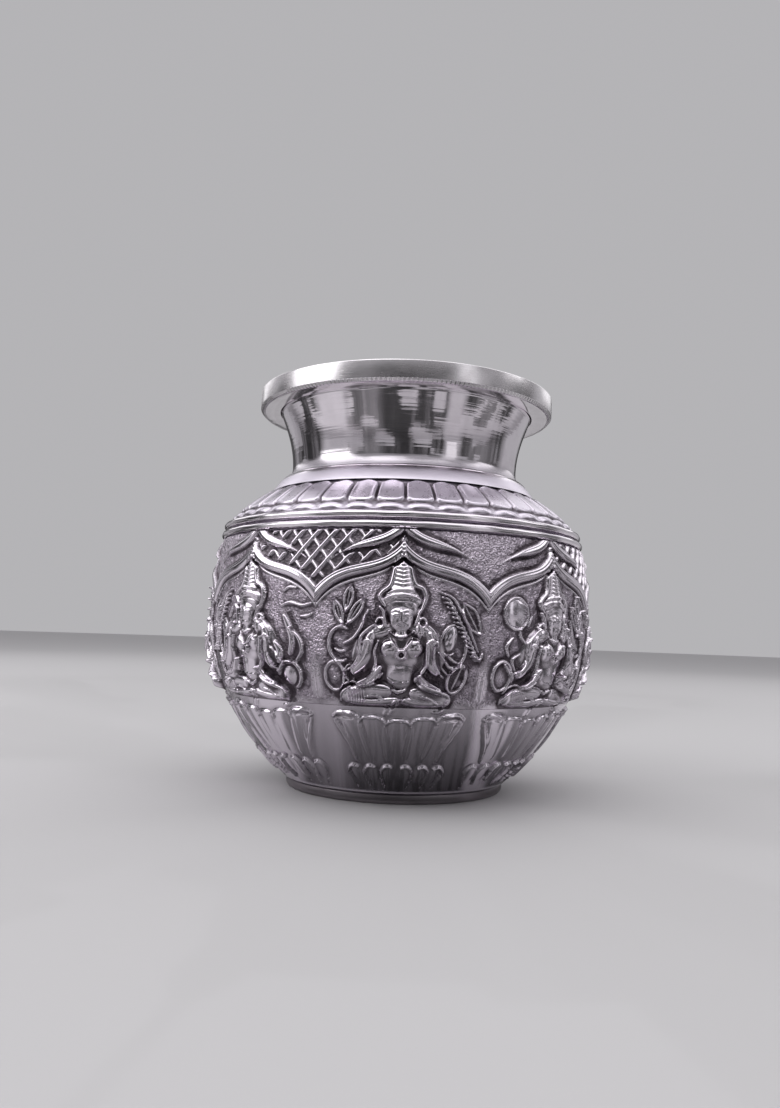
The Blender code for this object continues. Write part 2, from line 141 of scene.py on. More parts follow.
@dataclass(frozen=True)
class PotForm:
    """The plain form under all the relief, with its levels read from the frame."""

    wall: float = 0.8
    seam: float = 0.3
    bowl_edge_radius: float = 27.9
    bowl_edge_slope: float = 1.05
    widest: float = 41.0
    belt_top_radius: float = 45.6
    belt_top_slope: float = -0.25
    throat: float = 80.0
    throat_radius: float = 29.1
    neck_foot_radius: float = 29.95
    neck_foot_slope: float = -0.6
    neck_top_radius: float = 32.6
    neck_top_slope: float = 0.45
    shoulder_top: float = 73.0
    shoulder_top_radius: float = 33.4
    bowl_bottom: float = reach("base_plate")[2] + seam
    belt_bottom: float = reach("niche_panel_1")[1]
    belt_top: float = reach("niche_panel_1")[2]
    lip_top: float = reach("shoulder")[2]
    skirt_bottom: float = reach("shoulder")[1]
    lap_top: float = reach("petal_bowl")[2]
    collar_top: float = reach("neck_collar")[2]
    rim_bottom: float = reach("rim_band")[1]
    rim_top: float = reach("rim_band")[2]
    rim_radius: float = reach("rim_band")[0]

    def body(self, z: np.ndarray) -> np.ndarray:
        """Outer radius of the plain body.

        Args:
            z: the levels.

        Returns:
            The radius at each level.
        """
        z = np.asarray(z, float)
        widest = (self.widest, BODY_RADIUS, 0.0)
        foot = (self.bowl_bottom, self.bowl_edge_radius, self.bowl_edge_slope)
        top = (self.belt_top, self.belt_top_radius, self.belt_top_slope)
        above = self.belt_top_radius + self.belt_top_slope * (z - self.belt_top)
        belt = np.where(z <= self.belt_top, curve_between(z, widest, top), above)
        return np.where(z <= self.widest, curve_between(z, foot, widest), belt)

    def lap(self, z: np.ndarray) -> np.ndarray:
        """Outer radius of a sheet that lies behind the belt."""
        return self.body(z) - self.wall - self.seam

    def neck(self, z: np.ndarray) -> np.ndarray:
        """Outer radius of the neck, from its foot to its top.

        Args:
            z: the levels.

        Returns:
            The radius at each level.
        """
        z = np.asarray(z, float)
        throat = (self.throat, self.throat_radius, 0.0)
        foot = (self.collar_top, self.neck_foot_radius, self.neck_foot_slope)
        top = (self.rim_bottom - self.seam, self.neck_top_radius, self.neck_top_slope)
        low, high = curve_between(z, foot, throat), curve_between(z, throat, top)
        return np.where(z <= self.throat, low, high)


# Finishes


class Shader:
    """Grows the nodes of one material, and keeps the calls short."""

    def __init__(self, name: str) -> None:
        """Starts a material that has only a Principled BSDF.

        Args:
            name: the material's name.
        """
        self.material = bpy.data.materials.new(name)
        self.material.use_nodes = True
        self.tree = self.material.node_tree
        self.surface = self.tree.nodes["Principled BSDF"]
        self.surface.inputs["Metallic"].default_value = 1.0

    def node(self, kind: str, inputs: dict, **settings: object) -> bpy.types.Node:
        """Adds a node.

        Args:
            kind: the node's type, such as ShaderNodeMath.
            inputs: what each input holds, by name or number: a socket or a plain value.
            settings: the node's own properties.

        Returns:
            The new node.
        """
        node = self.tree.nodes.new(kind)
        for key, value in settings.items():
            setattr(node, key, value)
        for key, value in inputs.items():
            if isinstance(value, Socket):
                self.tree.links.new(value, node.inputs[key])
            else:
                node.inputs[key].default_value = value
        return node

    def place(self) -> Socket:
        """The point on the pot, in metres."""
        return self.node("ShaderNodeTexCoord", {}).outputs["Object"]

    def value_of(self, attribute: Attributes) -> Socket:
        """One of the values that the mesh holds at each point."""
        node = self.node("ShaderNodeAttribute", {}, attribute_name=attribute.value)
        return node.outputs["Fac"]

    def stretched(self, place: Socket, scale: Sequence[float]) -> Socket:
        """The place with each direction scaled by itself."""
        node = self.node("ShaderNodeMapping", {"Vector": place, "Scale": scale})
        return node.outputs["Vector"]

    def noise(self, place: Socket, size: float, detail: float = 2.0,
              rough: float = 0.5) -> Socket:
        """Soft noise whose blots are about size millimetres wide."""
        inputs = {"Vector": place, "Scale": 1 / (size * MM), "Detail": detail, "Roughness": rough}
        return self.node("ShaderNodeTexNoise", inputs).outputs["Fac"]

    def cells(self, place: Socket, size: float) -> Socket:
        """Distance to the middle of cells that are about size millimetres wide."""
        inputs = {"Vector": place, "Scale": 1 / (size * MM)}
        return self.node("ShaderNodeTexVoronoi", inputs).outputs["Distance"]

    def patches(self, place: Socket) -> Socket:
        """A random value for each of many square-cornered patches about 1 wide.

        Args:
            place: where, with the patches about 1 apart.

        Returns:
            The value of the patch there.
        """
        inputs = {"Vector": place, "Scale": 1.0, "Randomness": 0.85}
        node = self.node("ShaderNodeTexVoronoi", inputs, distance="CHEBYCHEV")
        return node.outputs["Color"]

    def ranged(self, value: Socket, low: float, high: float,
               to_low: float = 0.0, to_high: float = 1.0) -> Socket:
        """The value moved from one range to another, and held within it."""
        inputs = {"Value": value, "From Min": low, "From Max": high, "To Min": to_low,
                  "To Max": to_high}
        return self.node("ShaderNodeMapRange", inputs, clamp=True).outputs["Result"]

    def math(self, operation: str, first: object, second: object) -> Socket:
        """The result of a Math node's operation on two values."""
        return self.node("ShaderNodeMath", {0: first, 1: second}, operation=operation).outputs[0]

    def looked_up(self, turn: Socket, table: Sequence[Point]) -> Socket:
        """Looks a turn up in a table.

        Args:
            turn: 0 at -180 degrees and 1 at 180 degrees.
            table: degrees in rising order, with the value at each.

        Returns:
            The value at that turn.
        """
        node = self.node("ShaderNodeValToRGB", {0: turn})
        marks = node.color_ramp.elements
        while len(marks) < len(table):
            marks.new(1.0)
        for mark, (degrees, value) in zip(marks, table):
            mark.position = (degrees + 180) / 360
            mark.color = (value, value, value, 1.0)
        return node.outputs["Color"]

    def blended(self, share: object, first: object, second: object) -> Socket:
        """A colour between two colours.

        Args:
            share: 0 gives the first colour, and 1 the second.
            first: a colour.
            second: another colour.

        Returns:
            The blended colour.
        """
        # A Mix node has sockets for each kind of data. These are the ones for colours.
        share_in, first_in, second_in, color_out = 0, 6, 7, 2
        inputs = {share_in: share, first_in: first, second_in: second}
        node = self.node("ShaderNodeMix", inputs, data_type="RGBA")
        return node.outputs[color_out]

    def bumped(self, height: Socket, depth: float, under: Socket | None = None) -> Socket:
        """Raises a pattern from the surface without moving it.

        Args:
            height: the pattern.
            depth: how high 1 stands, in millimetres.
            under: the normal to start from, if not the surface's own.

        Returns:
            The new normal.
        """
        inputs = {"Height": height, "Distance": depth * MM, "Strength": 1.0}
        if under is not None:
            inputs["Normal"] = under
        return self.node("ShaderNodeBump", inputs).outputs["Normal"]

    def finish(self, color: Socket, roughness: Socket, normal: Socket) -> bpy.types.Material:
        """Joins the three results to the surface.

        Args:
            color: the silver's colour.
            roughness: how dull it is.
            normal: which way its surface looks.

        Returns:
            The finished material.
        """
        self.tree.links.new(color, self.surface.inputs["Base Color"])
        self.tree.links.new(roughness, self.surface.inputs["Roughness"])
        self.tree.links.new(normal, self.surface.inputs["Normal"])
        return self.material


@dataclass(frozen=True)
class StruckSilver:
    """Silver struck from behind: bright high points, a punched ground and painted shade in its
    recesses.
    """

    name: str
    silver: Color = (0.875, 0.81, 0.895, 1.0)
    matted: Color = (0.72, 0.64, 0.74, 1.0)
    tarnish_and_shade: Color = (0.09, 0.07, 0.085, 1.0)
    bright_roughness: float = 0.12
    matted_roughness: float = 0.24
    grain_size: float = 0.4
    grain_depth: float = 0.23
    planish_size: float = 3.5
    planish_depth: float = 0.03
    brush_width: float = 0.45
    brush_depth: float = 0.012
    brush_stretch: float = 0.09
    blotch_size: float = 4.0
    scuff_size: float = 0.9
    pore_tarnish: float = 0.7
    tarnish_roughness: float = 0.16

    def material(self) -> bpy.types.Material:
        """Makes the material, which reads the mesh's recess and matting values; the recess value
        paints shade into the colour.

        Returns:
            The material.
        """
        shader = Shader(self.name)
        place = shader.place()
        matting = shader.value_of(Attributes.MATTING)
        recess = shader.value_of(Attributes.RECESS)
        blotch = shader.noise(place, self.blotch_size, 3.0)
        scuff = shader.noise(place, self.scuff_size, 4.0, 0.65)
        grain = shader.math("ADD", shader.cells(place, self.grain_size),
                            shader.noise(place, self.grain_size * 1.6, 3.0, 0.65))
        pores = shader.ranged(grain, 1.0, 0.72, 0.0, self.pore_tarnish)
        pores = shader.math("MULTIPLY", pores, matting)
        # Painted shade: the colour darkens towards the dark tarnish colour where the recess value is
        # high, in hollows and beside raised forms. The pores of the matted ground hold real tarnish.
        shade_and_tarnish = shader.math("MULTIPLY", shader.ranged(recess, 0.06, 0.65),
                           shader.ranged(blotch, 0.25, 0.7, 0.7, 1.0))
        shade_and_tarnish = shader.math("MAXIMUM", shade_and_tarnish, pores)
        ground = shader.blended(matting, self.silver, self.matted)
        color = shader.blended(shade_and_tarnish, ground, self.tarnish_and_shade)
        spread = shader.math("ADD", shader.ranged(blotch, 0.3, 0.7, -0.03, 0.04),
                             shader.ranged(scuff, 0.35, 0.75, -0.02, 0.06))
        base = shader.ranged(matting, 0.0, 1.0, self.bright_roughness, self.matted_roughness)
        stained = shader.math("MULTIPLY", shade_and_tarnish, self.tarnish_roughness)
        roughness = shader.math("ADD", shader.math("ADD", base, spread), stained)
        planished = shader.bumped(shader.noise(place, self.planish_size, 1.0),
                                  self.planish_depth)
        upright = shader.stretched(place, (1.0, 1.0, self.brush_stretch))
        planished = shader.bumped(shader.noise(upright, self.brush_width, 3.0, 0.6),
                                  self.brush_depth, planished)
        punched = shader.math("MULTIPLY", grain, shader.ranged(matting, 0.0, 1.0, 0.03, 1.0))
        normal = shader.bumped(punched, self.grain_depth, planished)
        return shader.finish(color, roughness, normal)


@dataclass(frozen=True)
class TurnedSilver:
    """Silver spun and polished on the lathe, with fine lines round the axis."""

    name: str
    silver: Color = (0.88, 0.83, 0.885, 1.0)
    haze: Color = (0.70, 0.64, 0.70, 1.0)
    roughness: float = 0.05
    line_spacing: float = 0.75
    line_depth: float = 0.009
    line_stretch: float = 0.02
    blotch_size: float = 6.0
    wave_size: float = 7.0
    wave_depth: float = 0.07
    dull_and_shade_below: float = 0.0
    dull_and_shade_depth: float = 5.0
    dullness: float = 0.26
    dull_and_shade_silver: Color = (0.5, 0.465, 0.52, 1.0)

    def material(self) -> bpy.types.Material:
        """Makes the material: hand-spun waves, turning lines, a little haze, and a duller, darker zone
        below a level.

        Returns:
            The material.
        """
        shader = Shader(self.name)
        place = shader.place()
        along = shader.stretched(place, (self.line_stretch, self.line_stretch, 1.0))
        rings = shader.noise(along, self.line_spacing, 3.0)
        blotch = shader.noise(place, self.blotch_size, 4.0, 0.6)
        haze = shader.math("MULTIPLY", shader.ranged(blotch, 0.45, 0.8),
                           shader.ranged(rings, 0.3, 0.7, 0.3, 0.8))
        color = shader.blended(haze, self.silver, self.haze)
        roughness = shader.math("ADD", shader.ranged(haze, 0.0, 0.6, 0.0, 0.09),
                                shader.ranged(rings, 0.2, 0.8, self.roughness,
                                              self.roughness + 0.03))
        level = shader.node("ShaderNodeSeparateXYZ", {0: place}).outputs["Z"]
        # Below a level the silver turns duller and darker. On the neck the darker colour is painted
        # shade at its foot; on the collar it is the satin finish's tone.
        dull_and_shade = shader.ranged(level, (self.dull_and_shade_below - self.dull_and_shade_depth) * MM,
                             self.dull_and_shade_below * MM, self.dullness, 0.0)
        roughness = shader.math("ADD", roughness, dull_and_shade)
        color = shader.blended(shader.math("MULTIPLY", dull_and_shade, 1 / self.dullness), color,
                               self.dull_and_shade_silver)
        waves = shader.bumped(shader.noise(place, self.wave_size, 1.0), self.wave_depth)
        normal = shader.bumped(rings, self.line_depth, waves)
        return shader.finish(color, roughness, normal)


@dataclass(frozen=True)
class BrushedSilver:
    """Silver drawn along the band with a fine abrasive, and rubbed bright at its edges."""

    name: str
    silver: Color = (0.86, 0.83, 0.86, 1.0)
    worn: Color = (0.72, 0.68, 0.71, 1.0)
    roughness: float = 0.22
    polished_below: float = 0.0
    polished_roughness: float = 0.07
    milled_outside: float = 0.0
    teeth: int = 224
    tooth_depth: float = 0.08
    line_spacing: float = 0.12
    line_depth: float = 0.004
    line_stretch: float = 0.035
    patch_size: float = 5.0
    dent_size: float = 7.0
    dent_depth: float = 0.045
    blend_width: float = 0.1

    def material(self) -> bpy.types.Material:
        """Makes the material: lines along the band, soft dents and small scratches.

        Returns:
            The material.
        """
        shader = Shader(self.name)
        place = shader.place()
        along = shader.stretched(place, (self.line_stretch, self.line_stretch, 1.0))
        lines = shader.noise(along, self.line_spacing, 2.0)
        patches = shader.noise(place, self.patch_size, 3.0)
        worn = shader.math("MULTIPLY", shader.ranged(patches, 0.42, 0.75),
                           shader.ranged(lines, 0.3, 0.7, 0.4, 1.0))
        color = shader.blended(worn, self.silver, self.worn)
        roughness = shader.math("ADD", shader.ranged(lines, 0.2, 0.8, self.roughness - 0.04,
                                                     self.roughness + 0.05),
                                shader.ranged(patches, 0.3, 0.8, -0.03, 0.07))
        parts = shader.node("ShaderNodeSeparateXYZ", {0: place}).outputs
        brushed = shader.ranged(parts["Z"], self.polished_below * MM,
                                (self.polished_below + self.blend_width) * MM)
        roughness = shader.math("MULTIPLY", roughness, brushed)
        roughness = shader.math("MAXIMUM", roughness, self.polished_roughness)
        dents = shader.bumped(shader.noise(place, self.dent_size, 1.0), self.dent_depth)
        normal = shader.bumped(lines, self.line_depth, dents)
        turn = shader.math("ARCTAN2", parts["X"], parts["Y"])
        teeth = shader.math("SINE", shader.math("MULTIPLY", turn, float(self.teeth)), 0.0)
        flat = shader.stretched(place, (1.0, 1.0, 0.0))
        away = shader.node("ShaderNodeVectorMath", {0: flat}, operation="LENGTH").outputs["Value"]
        milled = shader.ranged(away, (self.milled_outside - self.blend_width) * MM,
                               self.milled_outside * MM)
        milled = shader.math("MULTIPLY", milled, shader.math("SUBTRACT", 1.0, brushed))
        teeth = shader.math("MULTIPLY", teeth, milled)
        normal = shader.bumped(teeth, self.tooth_depth, normal)
        return shader.finish(color, roughness, normal)


# Relief


def smooth_route(points: Sequence[Point], steps: int = 6) -> np.ndarray:
    """A smooth line through a few points.

    Args:
        points: degrees from the niche's middle, and millimetres above the table.
        steps: how many short runs join one point to the next.

    Returns:
        Points along the line, in millimetres across and up.
    """
    route = np.array(points, float) * (MM_PER_DEGREE, 1.0)
    ends = np.vstack([2 * route[0] - route[1], route, 2 * route[-1] - route[-2]])
    t = np.linspace(0, 1, steps, endpoint=False)[:, None]
    runs = []
    for a, b, c, d in zip(ends, ends[1:], ends[2:], ends[3:]):
        curve = (2 * a - 5 * b + 4 * c - d) * t**2 + (3 * b - a - 3 * c + d) * t**3
        runs.append(0.5 * (2 * b + (c - a) * t + curve))
    return np.vstack(runs + [route[-1:]])


def ring_route(middle: Point, half_size: Point, start: float = 0.0, sweep: float = 360.0,
               tilt: float = 0.0, points: int = 14) -> tuple[Point, ...]:
    """Points on an oval or on part of one.

    Args:
        middle: the oval's middle, in degrees and millimetres.
        half_size: half its width and half its height, in millimetres.
        start: where the line starts, in degrees from its right side.
        sweep: how far round it goes, in degrees.
        tilt: how far the oval leans to the left, in degrees.
        points: how many points to give.

    Returns:
        The points, in degrees and millimetres.
    """
    turns = np.radians(start + sweep * np.linspace(0, 1, points))
    lean = math.radians(tilt)
    x, y = half_size[0] * np.cos(turns), half_size[1] * np.sin(turns)
    across = (x * math.cos(lean) - y * math.sin(lean)) / MM_PER_DEGREE
    up = x * math.sin(lean) + y * math.cos(lean)
    return tuple((middle[0] + a, middle[1] + u) for a, u in zip(across, up))


@dataclass(frozen=True)
class Stroke:
    """A raised or sunk line. Its height is below zero where it is sunk."""

    route: tuple[Point, ...]
    half_width: float
    height: float
    tip: float = 0.4
    join: Join = Join.ADD
    polish: float = 1.0

    def shape(self, across: np.ndarray, up: np.ndarray) -> np.ndarray:
        """How far the line stands out.

        Args:
            across: the columns, in millimetres.
            up: the rows, in millimetres.

        Returns:
            The height at each point.
        """
        line = smooth_route(self.route)
        lengths = np.hypot(*np.diff(line, axis=0).T)
        marks = np.concatenate([[0.0], np.cumsum(lengths)]) / max(lengths.sum(), NEARLY_ZERO)
        nearest = np.full(np.broadcast_shapes(across.shape, up.shape), np.inf)
        share = np.zeros_like(nearest)
        for start, end, low, high in zip(line, line[1:], marks, marks[1:]):
            run = end - start
            t = (across - start[0]) * run[0] + (up - start[1]) * run[1]
            t = np.clip(t / max(run @ run, NEARLY_ZERO), 0, 1)
            away = np.hypot(across - start[0] - t * run[0], up - start[1] - t * run[1])
            closer = away < nearest
            nearest = np.where(closer, away, nearest)
            share = np.where(closer, low + t * (high - low), share)
        taper = np.sqrt(np.clip(np.sin(np.pi * share), 0, 1))
        width = self.half_width * (self.tip + (1 - self.tip) * taper)
        return self.height * np.sqrt(np.clip(1 - (nearest / width) ** 2, 0, 1))

    def extent(self) -> tuple[np.ndarray, np.ndarray]:
        """The lowest and highest corner of what the line covers."""
        line = smooth_route(self.route)
        return line.min(0) - self.half_width, line.max(0) + self.half_width


@dataclass(frozen=True)
class Swell:
    """A rounded mass, or a hollow where its height is below zero."""

    middle: Point
    half_size: Point
    height: float
    tilt: float = 0.0
    fullness: float = 0.5
    join: Join = Join.FUSE
    polish: float = 1.0

    def shape(self, across: np.ndarray, up: np.ndarray) -> np.ndarray:
        """How far the mass stands out.

        Args:
            across: the columns, in millimetres.
            up: the rows, in millimetres.

        Returns:
            The height at each point.
        """
        lean = math.radians(self.tilt)
        x, y = across - self.middle[0] * MM_PER_DEGREE, up - self.middle[1]
        along = (x * math.cos(lean) + y * math.sin(lean)) / self.half_size[0]
        beside = (y * math.cos(lean) - x * math.sin(lean)) / self.half_size[1]
        return self.height * np.clip(1 - along**2 - beside**2, 0, 1) ** self.fullness

    def extent(self) -> tuple[np.ndarray, np.ndarray]:
        """The lowest and highest corner of what the mass covers."""
        middle = np.array([self.middle[0] * MM_PER_DEGREE, self.middle[1]])
        return middle - max(self.half_size), middle + max(self.half_size)


Form = Stroke | Swell
Forms = tuple[Form, ...]


@dataclass
class ReliefField:
    """Heights struck into a sheet, over a grid of columns across and rows up."""

    across: np.ndarray
    up: np.ndarray
    height: np.ndarray = field(init=False)
    polish: np.ndarray = field(init=False)
    # Painted shade: how much darker the finish is drawn at each point, beside forms, in grooves and in
    # pits.
    painted_shade: np.ndarray = field(init=False)

    def __post_init__(self) -> None:
        """Starts with a flat matted sheet."""
        self.height = np.zeros((len(self.up), len(self.across)))
        self.polish = np.zeros_like(self.height)
        self.painted_shade = np.zeros_like(self.height)

    def grid(self) -> tuple[np.ndarray, np.ndarray]:
        """Columns and rows, shaped so that sums on them fill the whole grid."""
        return self.across[None, :], self.up[:, None]

    def strike(self, form: Form, softness: float = 0.25, boldness: float = 1.0) -> None:
        """Strikes one form into the sheet.

        Args:
            form: what to strike.
            softness: over what height a fused form melts into its neighbours.
            boldness: what its height is multiplied by.
        """
        low, high = form.extent()
        columns = slice(*np.searchsorted(self.across, (low[0], high[0])))
        rows = slice(*np.searchsorted(self.up, (low[1], high[1])))
        if columns.start == columns.stop or rows.start == rows.stop:
            return
        shape = form.shape(self.across[columns][None, :], self.up[rows][:, None]) * boldness
        under = self.height[rows, columns]
        if form.join is Join.FUSE:
            self.height[rows, columns] = np.where(shape > 0, melted(under, shape, softness), under)
        else:
            self.height[rows, columns] = under + shape
        covered = smoothstep(np.abs(shape), 0.02, 0.2) * form.polish
        self.polish[rows, columns] = np.maximum(self.polish[rows, columns], covered)

    def strike_all(self, forms: Sequence[Form], boldness: float = 1.0) -> None:
        """Strikes several forms, one after another."""
        for form in forms:
            self.strike(form, boldness=boldness)

    def rub(self, share: np.ndarray) -> None:
        """Polishes the sheet, fully where the share is 1."""
        self.polish = np.maximum(self.polish, share)

    def paint_shade_beside_forms(self, width: float = 0.4, depth: float = 0.55) -> None:
        """Paints shade on the matted ground close beside the polished forms.

        Args:
            width: how far from the forms the painted shade reaches, in millimetres.
            depth: how dark it is beside them, from 0 to 1.
        """
        reach_in_cells = max(1, round(width / abs(self.up[1] - self.up[0])))
        near = blurred(self.polish, reach_in_cells)
        # Painted shade on the ground beside the forms.
        self.painted_shade = self.painted_shade + depth * np.clip(2 * near, 0, 1) * (1 - self.polish)

    def recess(self, width: float = 1.1, depth: float = 0.33) -> np.ndarray:
        """How far each point lies below what surrounds it, with the painted shade added.

        Args:
            width: how far round a point to look, in millimetres.
            depth: how low a point lies where the result is 1, in millimetres.

        Returns:
            A value from 0 to 1 for each point.
        """
        reach_in_cells = max(1, round(width / abs(self.up[1] - self.up[0])))
        around = blurred(self.height, reach_in_cells)
        return np.clip((around - self.height) / depth + self.painted_shade, 0, 1)


def melted(first: np.ndarray, second: np.ndarray, softness: float) -> np.ndarray:
    """The higher of two heights, with a soft fillet where they meet."""
    near = np.clip(1 - np.abs(first - second) / softness, 0, 1)
    return np.maximum(first, second) + softness * 0.25 * near**2


def blurred(values: np.ndarray, cells: int) -> np.ndarray:
    """Values averaged over a square of cells to each side, twice for a soft edge."""
    for _ in range(2):
        for axis in (0, 1):
            padding = [(0, 0), (0, 0)]
            padding[axis] = (cells + 1, cells)
            summed = np.cumsum(np.pad(values, padding, mode="edge"), axis=axis)
            count = values.shape[axis]
            high = np.take(summed, range(2 * cells + 1, 2 * cells + 1 + count), axis=axis)
            low = np.take(summed, range(count), axis=axis)
            values = (high - low) / (2 * cells + 1)
    return values


# The ornament of the niches


@dataclass(frozen=True)
class NicheArch:
    """The two curved bands over a niche, one above the other, with a thin line below."""

    valley: float = 46.0
    shoulder: float = 5.3
    shoulder_power: float = 4.5
    spire: float = 4.9
    spire_width: float = 4.1
    band_width: float = 2.2
    band_height: float = 1.05
    band_side: float = 0.3
    band_lean: float = 0.12
    chased_place: float = 0.42
    chased_width: float = 0.16
    chased_depth: float = 0.16
    upper_rise: float = 5.2
    upper_fade: float = 0.35
    upper_least: float = 0.16
    upper_end: float = 19.0
    line_drop: float = 2.3
    line_start: float = 2.5
    line_half_width: float = 0.3
    line_height: float = 0.34
    undercut: float = 0.3
    # How dark the painted shadow in the groove under the bands is.
    groove_shadow: float = 0.9

    def middle(self, across: np.ndarray) -> np.ndarray:
        """Level of the lower band's middle line.

        Args:
            across: millimetres from the niche's middle.

        Returns:
            The level at each place.
        """
        share = np.clip(np.abs(across) / (NICHE_DEGREES / 2 * MM_PER_DEGREE), 0, 1)
        rise = self.shoulder * (1 - share**self.shoulder_power)
        return self.valley + rise + self.spire * np.exp(-np.abs(across) / self.spire_width)

    def band(self, off: np.ndarray, half_width: np.ndarray) -> np.ndarray:
        """Height of a band at a distance above its middle line.

        The band has steep sides, a round back and a fine chased line near its upper edge.

        Args:
            off: millimetres above the middle line.
            half_width: half the band's width there.

        Returns:
            The height at each point.
        """
        t = np.clip(np.abs(off) / half_width, 0, 1)
        back = np.sqrt(np.clip(1 - t**3, 0, 1))
        from_line = (off / half_width - self.chased_place) / self.chased_width
        chased = self.chased_depth * np.exp(-(from_line**2))
        lean = self.band_lean * off / half_width
        raised = self.band_side + (1 - self.band_side) * back - chased + lean
        return np.where(t < 1, raised, 0.0) * self.band_height

    def strike(self, relief: ReliefField) -> None:
        """Strikes the bands and the line into a niche.

        Args:
            relief: the niche to strike it into.
        """
        across, up = relief.grid()
        middle = self.middle(across)
        slope = np.gradient(self.middle(relief.across), relief.across)[None, :]
        square = 1 / np.sqrt(1 + slope**2)
        degrees = np.abs(across) / MM_PER_DEGREE
        off = (up - middle) * square
        lower = self.band(off, np.full_like(across, self.band_width / 2))
        fade = 1 - smoothstep(degrees, self.upper_end * self.upper_fade, self.upper_end)
        width = self.band_width / 2 * np.clip(fade, self.upper_least, 1) * 0.92
        rise = self.upper_rise - 0.4 * smoothstep(degrees, 8.0, self.upper_end)
        upper_off = (up - middle - rise) * square
        upper = self.band(upper_off, width) * np.clip(fade * 1.8 + 0.3, 0, 1)
        upper = upper * (degrees < self.upper_end)
        drop = self.line_drop * (0.75 + 0.25 * degrees / (NICHE_DEGREES / 2))
        gap = (up - middle + drop) * square / self.line_half_width
        line = self.line_height * np.sqrt(np.clip(1 - gap**2, 0, 1)) * (degrees > self.line_start)
        raised = np.maximum(np.maximum(lower, upper), line)
        groove = self.groove(off, self.band_width / 2) + self.groove(upper_off, width) * (
            degrees < self.upper_end * 0.8)
        groove = np.clip(groove, 0, 1)
        ground = relief.height * (1 - groove) - self.undercut * groove
        relief.height = np.where(raised > 0, np.maximum(relief.height, raised), ground)
        relief.rub(smoothstep(raised, 0.02, 0.15))
        # Painted shadow in the punched groove along each band, darkest under its lower edge.
        relief.painted_shade = relief.painted_shade + groove * (raised <= 0) * self.groove_shadow

    def groove(self, off: np.ndarray, half_width: np.ndarray | float) -> np.ndarray:
        """How far the ground is punched down along a band's edges, most of all below it.

        Args:
            off: millimetres above the band's middle line.
            half_width: half the band's width there.

        Returns:
            The share of the full depth at each point.
        """
        below = np.exp(-(((off + half_width + 0.28) / 0.34) ** 2))
        above = 0.4 * np.exp(-(((off - half_width - 0.2) / 0.26) ** 2))
        return below + above


@dataclass(frozen=True)
class Lattice:
    """Crossing raised bars with deep pits between them, over one side of an arch."""

    pitch: float = 4.1
    steepness: float = 1.15
    strong_bar: float = 0.62
    weak_bar: float = 0.36
    pit_depth: float = 0.55
    strong_width: float = 0.19
    weak_width: float = 0.13
    phase: float = 0.12
    pit_slope: float = 0.75

    def bar(self, phase: np.ndarray, width: float) -> np.ndarray:
        """1 on the middle of each bar and 0 between the bars."""
        away = np.abs(phase - np.round(phase))
        return np.sqrt(np.clip(1 - (away / width) ** 2, 0, 1))

    def strike(self, relief: ReliefField, arch: NicheArch, side: int) -> None:
        """Strikes the lattice above the arch.

        Args:
            relief: the niche to strike it into.
            arch: the bands that bound it.
            side: -1 for the left half of the niche, and 1 for the right half.
        """
        across, up = relief.grid()
        from_seam = across - side * NICHE_DEGREES / 2 * MM_PER_DEGREE
        spacing = self.pitch * self.steepness
        rising_phase = (up - from_seam * self.steepness) / spacing + self.phase
        falling_phase = (up + from_seam * self.steepness) / spacing + self.phase
        rising = self.bar(rising_phase, self.strong_width)
        falling = self.bar(falling_phase, self.weak_width)
        place_in_cell = rising_phase - np.floor(rising_phase)
        facet = self.pit_depth * (1 - self.pit_slope * place_in_cell)
        bars = np.maximum(self.strong_bar * rising, self.weak_bar * falling)
        open_pit = np.clip(1 - rising - falling, 0, 1)
        height = bars - facet * open_pit
        above = smoothstep(up - arch.middle(across), arch.band_width / 2 - 0.1,
                           arch.band_width / 2 + 0.25)
        near = smoothstep(side * across, 0.6, 1.6)
        top = 1 - smoothstep(up, relief.up[-1] - 0.5, relief.up[-1])
        share = above * near * top
        relief.height = relief.height * (1 - share) + height * share
        relief.rub(share * np.clip(rising + falling + 0.5, 0, 1))
        # Painted shade in the open pits, darkest at the deep end of each sloped facet.
        relief.painted_shade = relief.painted_shade + share * open_pit * (1.3 - 1.1 * place_in_cell)


def mirrored(forms: Sequence[Form]) -> Forms:
    """The same forms on the other side of the niche.

    Args:
        forms: what stands on one side.

    Returns:
        What stands on the other side.
    """
    other = []
    for form in forms:
        if isinstance(form, Stroke):
            route = tuple((-degrees, up) for degrees, up in form.route)
            other.append(replace(form, route=route))
        else:
            middle = (-form.middle[0], form.middle[1])
            other.append(replace(form, middle=middle, tilt=-form.tilt))
    return tuple(other)


